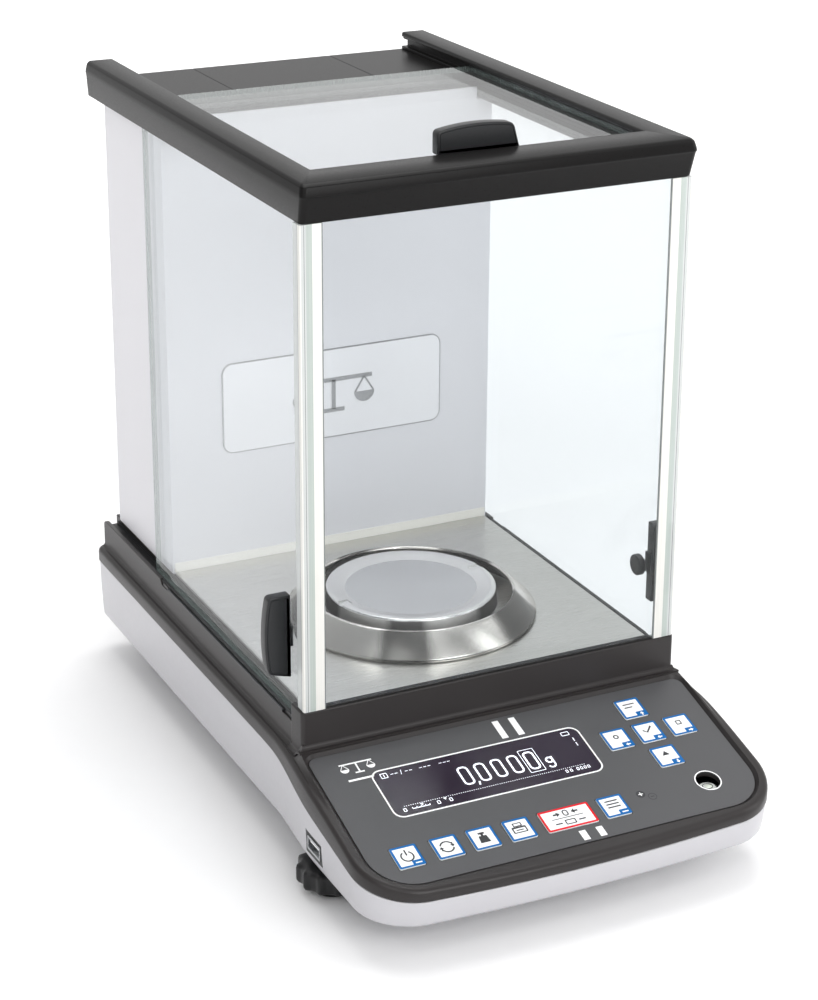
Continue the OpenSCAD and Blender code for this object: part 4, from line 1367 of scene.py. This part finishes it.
def make_pan():
    """Pan with a rolled rim, a broad flat border and a shallow dished middle."""
    low, high = box_mm("weighing_pan")
    radius, top = high.x, high.z
    slope_r, dish_r, depth = radius - 4.8, radius - 11.0, 1.4
    profile = [
        (0, top - 1.6), (5.05, top - 1.6), (5.05, top - 9), (5.3, top - 9), (7.7, top - 9), (8, top - 8.7),
        (8, top - 2.5), (radius - 1.3, top - 2.5), (radius - 1.2, top - 2.7), (radius - 1.2, low.z + 0.2),
        (radius - 1.0, low.z),
        (radius - 0.2, low.z), (radius, low.z + 0.2), (radius - 0.8, top - 1.1), (radius - 0.95, top - 0.55),
        (radius - 1.25, top - 0.15), (radius - 1.7, top), (slope_r, top), (slope_r - 0.3, top - 0.12),
        (dish_r + 0.3, top - depth + 0.1), (dish_r, top - depth), (dish_r - 0.3, top - depth),
        (0, top - depth),
    ]
    shape = Shape().add(*revolve(profile, 160))
    for index, face in enumerate(shape.faces):
        centre = sum((shape.verts[corner] for corner in face), Vector()) / len(face)
        if centre.xy.length > radius - 1.0 and low.z + 0.3 < centre.z < top - 0.9:
            shape.marks[index] = 1
        if centre.xy.length < dish_r and top - depth - 0.05 < centre.z < top:
            shape.marks[index] = 2
    pan = piece("pan_dish", shape, [PAN_STEEL, PAN_SKIRT, PAN_MIDDLE], body="pan",
                stands_for=["weighing_pan"], smooth=32)
    notches = []
    for turn in (8, 188):
        place = turned_by(turn, "Z")
        verts, faces = box((radius - 7.5, -2.6, top - 0.9), (radius + 2, 2.6, top + 2))
        notches.append(([place @ Vector(vert) for vert in verts], faces))
    cut(pan, notches)


def make_ring():
    """Draught ring: a cone with a rolled lip above and a short upright foot."""
    low, high = box_mm("draught_ring")
    radius, top = high.x, high.z
    hole = 52.6
    profile = [
        (radius - 1.9, low.z + 0.1), (radius - 0.3, low.z), (radius, low.z + 0.3), (radius, low.z + 1.3),
        (radius - 0.3, low.z + 1.9), (hole + 2.6, top - 1.0), (hole + 1.9, top - 0.3), (hole + 1.2, top),
        (hole + 0.5, top - 0.1), (hole + 0.1, top - 0.5), (hole, top - 1.2), (hole + 0.3, top - 1.6),
        (hole + 1.6, top - 2.4), (radius - 2.2, low.z + 1.2),
    ]
    shape = Shape().add(*revolve(profile, 160))
    piece("draught_cone", shape, [RING_STEEL], body="ring",
          stands_for=["draught_ring"], smooth=40)


def make_floor_plate():
    low, high = FLOOR_LOW, FLOOR_HIGH
    outline = rounded(high.x - low.x, high.y - low.y, 1.0, (0, (low.y + high.y) / 2), 3)
    shape = Shape().add(*slab([outline, circle(12, steps=64)], low.z, high.z))
    piece("chamber_floor", shape, [FLOOR_STEEL], stands_for=["floor_plate"], bevel=0.3)


# ---- feet and rear sockets -----------------------------------------------------------------------

def make_feet():
    for side in ("left", "right"):
        low, high = box_mm(f"{side}_foot_knob")
        centre = ((low.x + high.x) / 2, (low.y + high.y) / 2)
        radius = (high.x - low.x) / 2
        place = moved(*centre, 0)
        wheel_low, wheel_high = 4.4, 14.8
        steps, lobes, scallop = 120, 12, 1.9
        rings = []
        for z, inset in ((wheel_low, 2.0), (wheel_low + 0.5, 0.9), (wheel_low + 1.6, 0.2),
                         (wheel_low + 3, 0.0), (wheel_high - 2.2, 0.0), (wheel_high - 0.8, 0.4),
                         (wheel_high, 1.8)):
            ring = []
            for step in range(steps):
                angle = 2 * math.pi * step / steps
                wave = (0.5 - 0.5 * math.cos(lobes * angle)) ** 2
                reach = radius - inset - scallop * (1 - wave) * 0.9
                ring.append((reach * math.cos(angle), reach * math.sin(angle), z))
            rings.append(ring)
        shape = Shape().add(*loft(rings), place=place)
        spindle = [(0, low.z), (3.6, low.z), (4, low.z + 0.4), (4, high.z - 0.6), (3.5, high.z), (0, high.z)]
        shape.add(*revolve(spindle, 40), mark=1, place=place)
        piece(f"{side}_foot_wheel", shape, [BLACK, SCREW], body=f"{side}_wheel",
              stands_for=[f"{side}_foot_knob"], smooth=45)
        pad_low, pad_high = box_mm(f"{side}_foot_pad")
        pad_r = (pad_high.x - pad_low.x) / 2
        profile = [
            (0, 0), (pad_r - 1.2, 0), (pad_r - 0.3, 0.35), (pad_r, 1.1), (pad_r - 0.2, 2.6),
            (pad_r - 1.4, pad_high.z - 0.2), (pad_r - 2.4, pad_high.z), (5.6, pad_high.z),
            (5.2, pad_high.z - 0.4), (5.2, 2.2), (0, 2.2),
        ]
        shape = Shape().add(*revolve(profile, 64), place=place)
        piece(f"{side}_foot_sole", shape, [RUBBER], body=f"{side}_foot",
              stands_for=[f"{side}_foot_pad"])
    low, high = box_mm("rear_feet")
    radius = 11.0
    shape = Shape()
    for side in (-1, 1):
        place = moved(side * (high.x - radius), (low.y + high.y) / 2, 0)
        top = UNDERSIDE - 0.05
        profile = [
            (0, 0), (radius - 1.6, 0), (radius - 0.5, 0.4), (radius, 1.4), (radius - 0.3, top * 0.5),
            (radius, top - 1.0), (radius - 0.4, top), (3.0, top), (3.0, high.z - 0.5), (2.6, high.z),
            (0, high.z),
        ]
        shape.add(*revolve(profile, 56), place=place)
    piece("rear_foot_pair", shape, [RUBBER], stands_for=["rear_feet"])


def make_contacts():
    """Pins and tongues inside the sockets."""
    pin_pitch = 2.74
    low, high = box_mm("serial_port")
    shape = Shape()
    centre = (low.x + high.x) / 2
    for count, z in ((5, 1.4), (4, -1.4)):
        for index in range(count):
            x = centre + (index - (count - 1) / 2) * pin_pitch
            pin = moved(x, high.y - 1.0, SOCKET_Z + z) @ turned_by(90, "X")
            profile = [(0, 0), (0.35, 0.1), (0.5, 0.5), (0.5, 6.2), (0, 6.2)]
            shape.add(*revolve(profile, 12), place=pin)
    low, high = box_mm("power_jack")
    pin = moved((low.x + high.x) / 2, high.y - 1.5, SOCKET_Z) @ turned_by(90, "X")
    shape.add(*revolve([(0, 0), (0.6, 0.15), (1.0, 0.7), (1.0, 8.6), (0, 8.6)], 20), place=pin)
    piece("socket_pins", shape, [BRASS])
    tongues = Shape()
    low, high = box_mm("usb_rear_port")
    x = (low.x + high.x) / 2
    tongues.add(*box((x - 2.8, high.y - 8.6, SOCKET_Z - 1.4), (x + 2.8, high.y - 1.2, SOCKET_Z + 1.4)))
    low, high = box_mm("usb_side_port")
    y, z = (low.y + high.y) / 2, (low.z + high.z) / 2
    tongues.add(*box((low.x + 0.8, y - 5.6, z + 0.4), (low.x + 5.0, y + 5.6, z + 1.9)))
    piece("socket_tongues", tongues, [PRINT_WHITE], bevel=0.2)


# ---- carried-over CAD nodes ----------------------------------------------------------------------

def dress_nodes():
    """Gives every CAD node its slot's material."""
    slots = {part["node"]: part["material_slot"] for part in frame["record"]["subparts"]}
    for name, obj in frame["nodes"].items():
        material = SLOT_MATERIALS[slots[name]]
        obj.data.materials.clear()
        obj.data.materials.append(material)
        obj.data.polygons.foreach_set("material_index", [0] * len(obj.data.polygons))


# ---- stage ---------------------------------------------------------------------------------------

def make_stage():
    size = 9000.0
    verts = [(-size, -size, 0), (size, -size, 0), (size, size, 0), (-size, size, 0)]
    mesh = bpy.data.meshes.new("studio_floor")
    mesh.from_pydata([Vector(vert) * MM for vert in verts], [], [(0, 1, 2, 3)])
    floor = bpy.data.objects.new("studio_floor", mesh)
    bpy.context.scene.collection.objects.link(floor)
    n = Nodes("studio_paper")
    fibre = n.noise(n.coordinates(), 60.0, 3.0)
    far = n.add("ShaderNodeVectorMath", Vector=n.coordinates())
    far.operation = "LENGTH"
    shader = n.principled(
        Base_Color=n.blend(fibre, (0.93, 0.93, 0.935, 1), (0.95, 0.95, 0.95, 1)),
        Roughness=0.9,
        Specular_IOR_Level=0.1,
        Emission_Color=(1, 1, 1, 1),
        Emission_Strength=n.span(far.outputs["Value"], 0.0, 0.45, (0.5, 2.2)),
    )
    mesh.materials.append(n.finish(shader.outputs[0]))


def area_light(name, location, target, size, power, colour=(1, 1, 1)):
    data = bpy.data.lights.new(name, "AREA")
    data.shape = "RECTANGLE"
    data.size, data.size_y = size
    data.energy = power
    data.color = colour
    light = bpy.data.objects.new(name, data)
    light.location = location
    light.rotation_euler = (Vector(target) - Vector(location)).to_track_quat("-Z", "Y").to_euler()
    bpy.context.scene.collection.objects.link(light)


def make_lights():
    """White studio: bright and dark sectors all round, so that metal and edges have contrast."""
    world = bpy.data.worlds.new("studio")
    bpy.context.scene.world = world
    world.use_nodes = True
    tree = world.node_tree
    tree.nodes.clear()
    output = tree.nodes.new("ShaderNodeOutputWorld")
    place = tree.nodes.new("ShaderNodeTexCoord")
    ramp = tree.nodes.new("ShaderNodeValToRGB")
    parts = tree.nodes.new("ShaderNodeSeparateXYZ")
    bearing = tree.nodes.new("ShaderNodeMath")
    bearing.operation = "ARCTAN2"
    spread = tree.nodes.new("ShaderNodeMapRange")
    tree.links.new(place.outputs["Generated"], parts.inputs[0])
    tree.links.new(parts.outputs["Y"], bearing.inputs[0])
    tree.links.new(parts.outputs["X"], bearing.inputs[1])
    tree.links.new(bearing.outputs[0], spread.inputs["Value"])
    spread.inputs["From Min"].default_value = -math.pi
    spread.inputs["From Max"].default_value = math.pi
    tree.links.new(spread.outputs["Result"], ramp.inputs[0])
    stops = ramp.color_ramp.elements
    for stop, position in zip(stops, (0.0, 1.0)):
        stop.position, stop.color = position, (0.45, 0.45, 0.46, 1)
    dark, pale = 0.22, 1.15
    sectors = ((0.07, 0.4), (0.1, pale), (0.15, pale), (0.17, dark), (0.2, dark), (0.23, pale), (0.3, pale),
               (0.33, dark), (0.36, dark), (0.4, pale), (0.46, pale), (0.5, 0.7), (0.58, 1.0), (0.72, 1.05),
               (0.8, 0.9), (0.9, 0.5))
    for position, level in sectors:
        stops.new(position).color = (level, level, level, 1)
    soft = tree.nodes.new("ShaderNodeBackground")
    tree.links.new(ramp.outputs[0], soft.inputs["Color"])
    soft.inputs["Strength"].default_value = 0.95
    white = tree.nodes.new("ShaderNodeBackground")
    white.inputs["Color"].default_value = (1, 1, 1, 1)
    white.inputs["Strength"].default_value = 1.0
    path = tree.nodes.new("ShaderNodeLightPath")
    mix = tree.nodes.new("ShaderNodeMixShader")
    tree.links.new(path.outputs["Is Camera Ray"], mix.inputs[0])
    tree.links.new(soft.outputs[0], mix.inputs[1])
    tree.links.new(white.outputs[0], mix.inputs[2])
    tree.links.new(mix.outputs[0], output.inputs[0])
    area_light("key_softbox", (-1.3, -1.5, 1.9), (0, 0, 0.15), (1.2, 1.2), 10)
    area_light("front_softbox", (0.3, -2.2, 1.3), (0, 0, 0.15), (1.6, 0.8), 20)
    area_light("top_softbox", (0.2, 0.5, 2.3), (0, 0, 0.1), (1.4, 1.4), 24)
    area_light("fill_softbox", (1.9, -1.1, 1.1), (0, 0, 0.15), (0.8, 1.6), 8)


def make_camera():
    """Long lens from the front left, a little above the hood, as in the product view."""
    azimuth, elevation, roll = math.radians(-25.6), math.radians(19.8), math.radians(0.12)
    distance = 1.2334
    level = math.cos(elevation)
    back = Vector((math.sin(azimuth) * level, -math.cos(azimuth) * level, math.sin(elevation)))
    data = bpy.data.cameras.new("product_view")
    data.sensor_width = 36.0
    data.lens = 87.98
    data.shift_x, data.shift_y = 0.0213, -0.1
    camera = bpy.data.objects.new("product_view", data)
    camera.location = Vector((-0.0136, 0, 0.2005)) + back * distance
    camera.rotation_mode = "QUATERNION"
    camera.rotation_quaternion = (-back).to_track_quat("-Z", "Y") @ Quaternion((0, 0, 1), roll)
    bpy.context.scene.collection.objects.link(camera)
    bpy.context.scene.camera = camera
    bpy.context.scene.view_settings.view_transform = "Standard"


KEY_SIZES = {node: key_size(node) for node in KEY_NODES}
WINDOW_SIZE = Vector((WINDOW_HIGH.x - WINDOW_LOW.x, 31.3))

make_camera()
make_lights()
make_stage()
dress_nodes()
make_tray()
make_cover()
make_riser()
make_deck()
make_ledge_walls()
make_hood()
make_top_cover()
for pane_name, glass_node, glass_body, axis in (
    ("left_pane", "left_door_glass", "left_door", 0), ("right_pane", "right_door_glass", "right_door", 0),
    ("top_pane", "top_door_glass", "top_door", 2), ("front_pane", "front_glass", "housing", 1),
):
    make_pane(pane_name, glass_node, glass_body, axis)
make_corner_profiles()
make_glass_seal()
make_tower()
make_plate()
make_grips()
make_foil()
make_screen()
make_keys()
make_level()
make_pan()
make_ring()
make_floor_plate()
make_feet()
make_contacts()

bpy.context.view_layer.update()
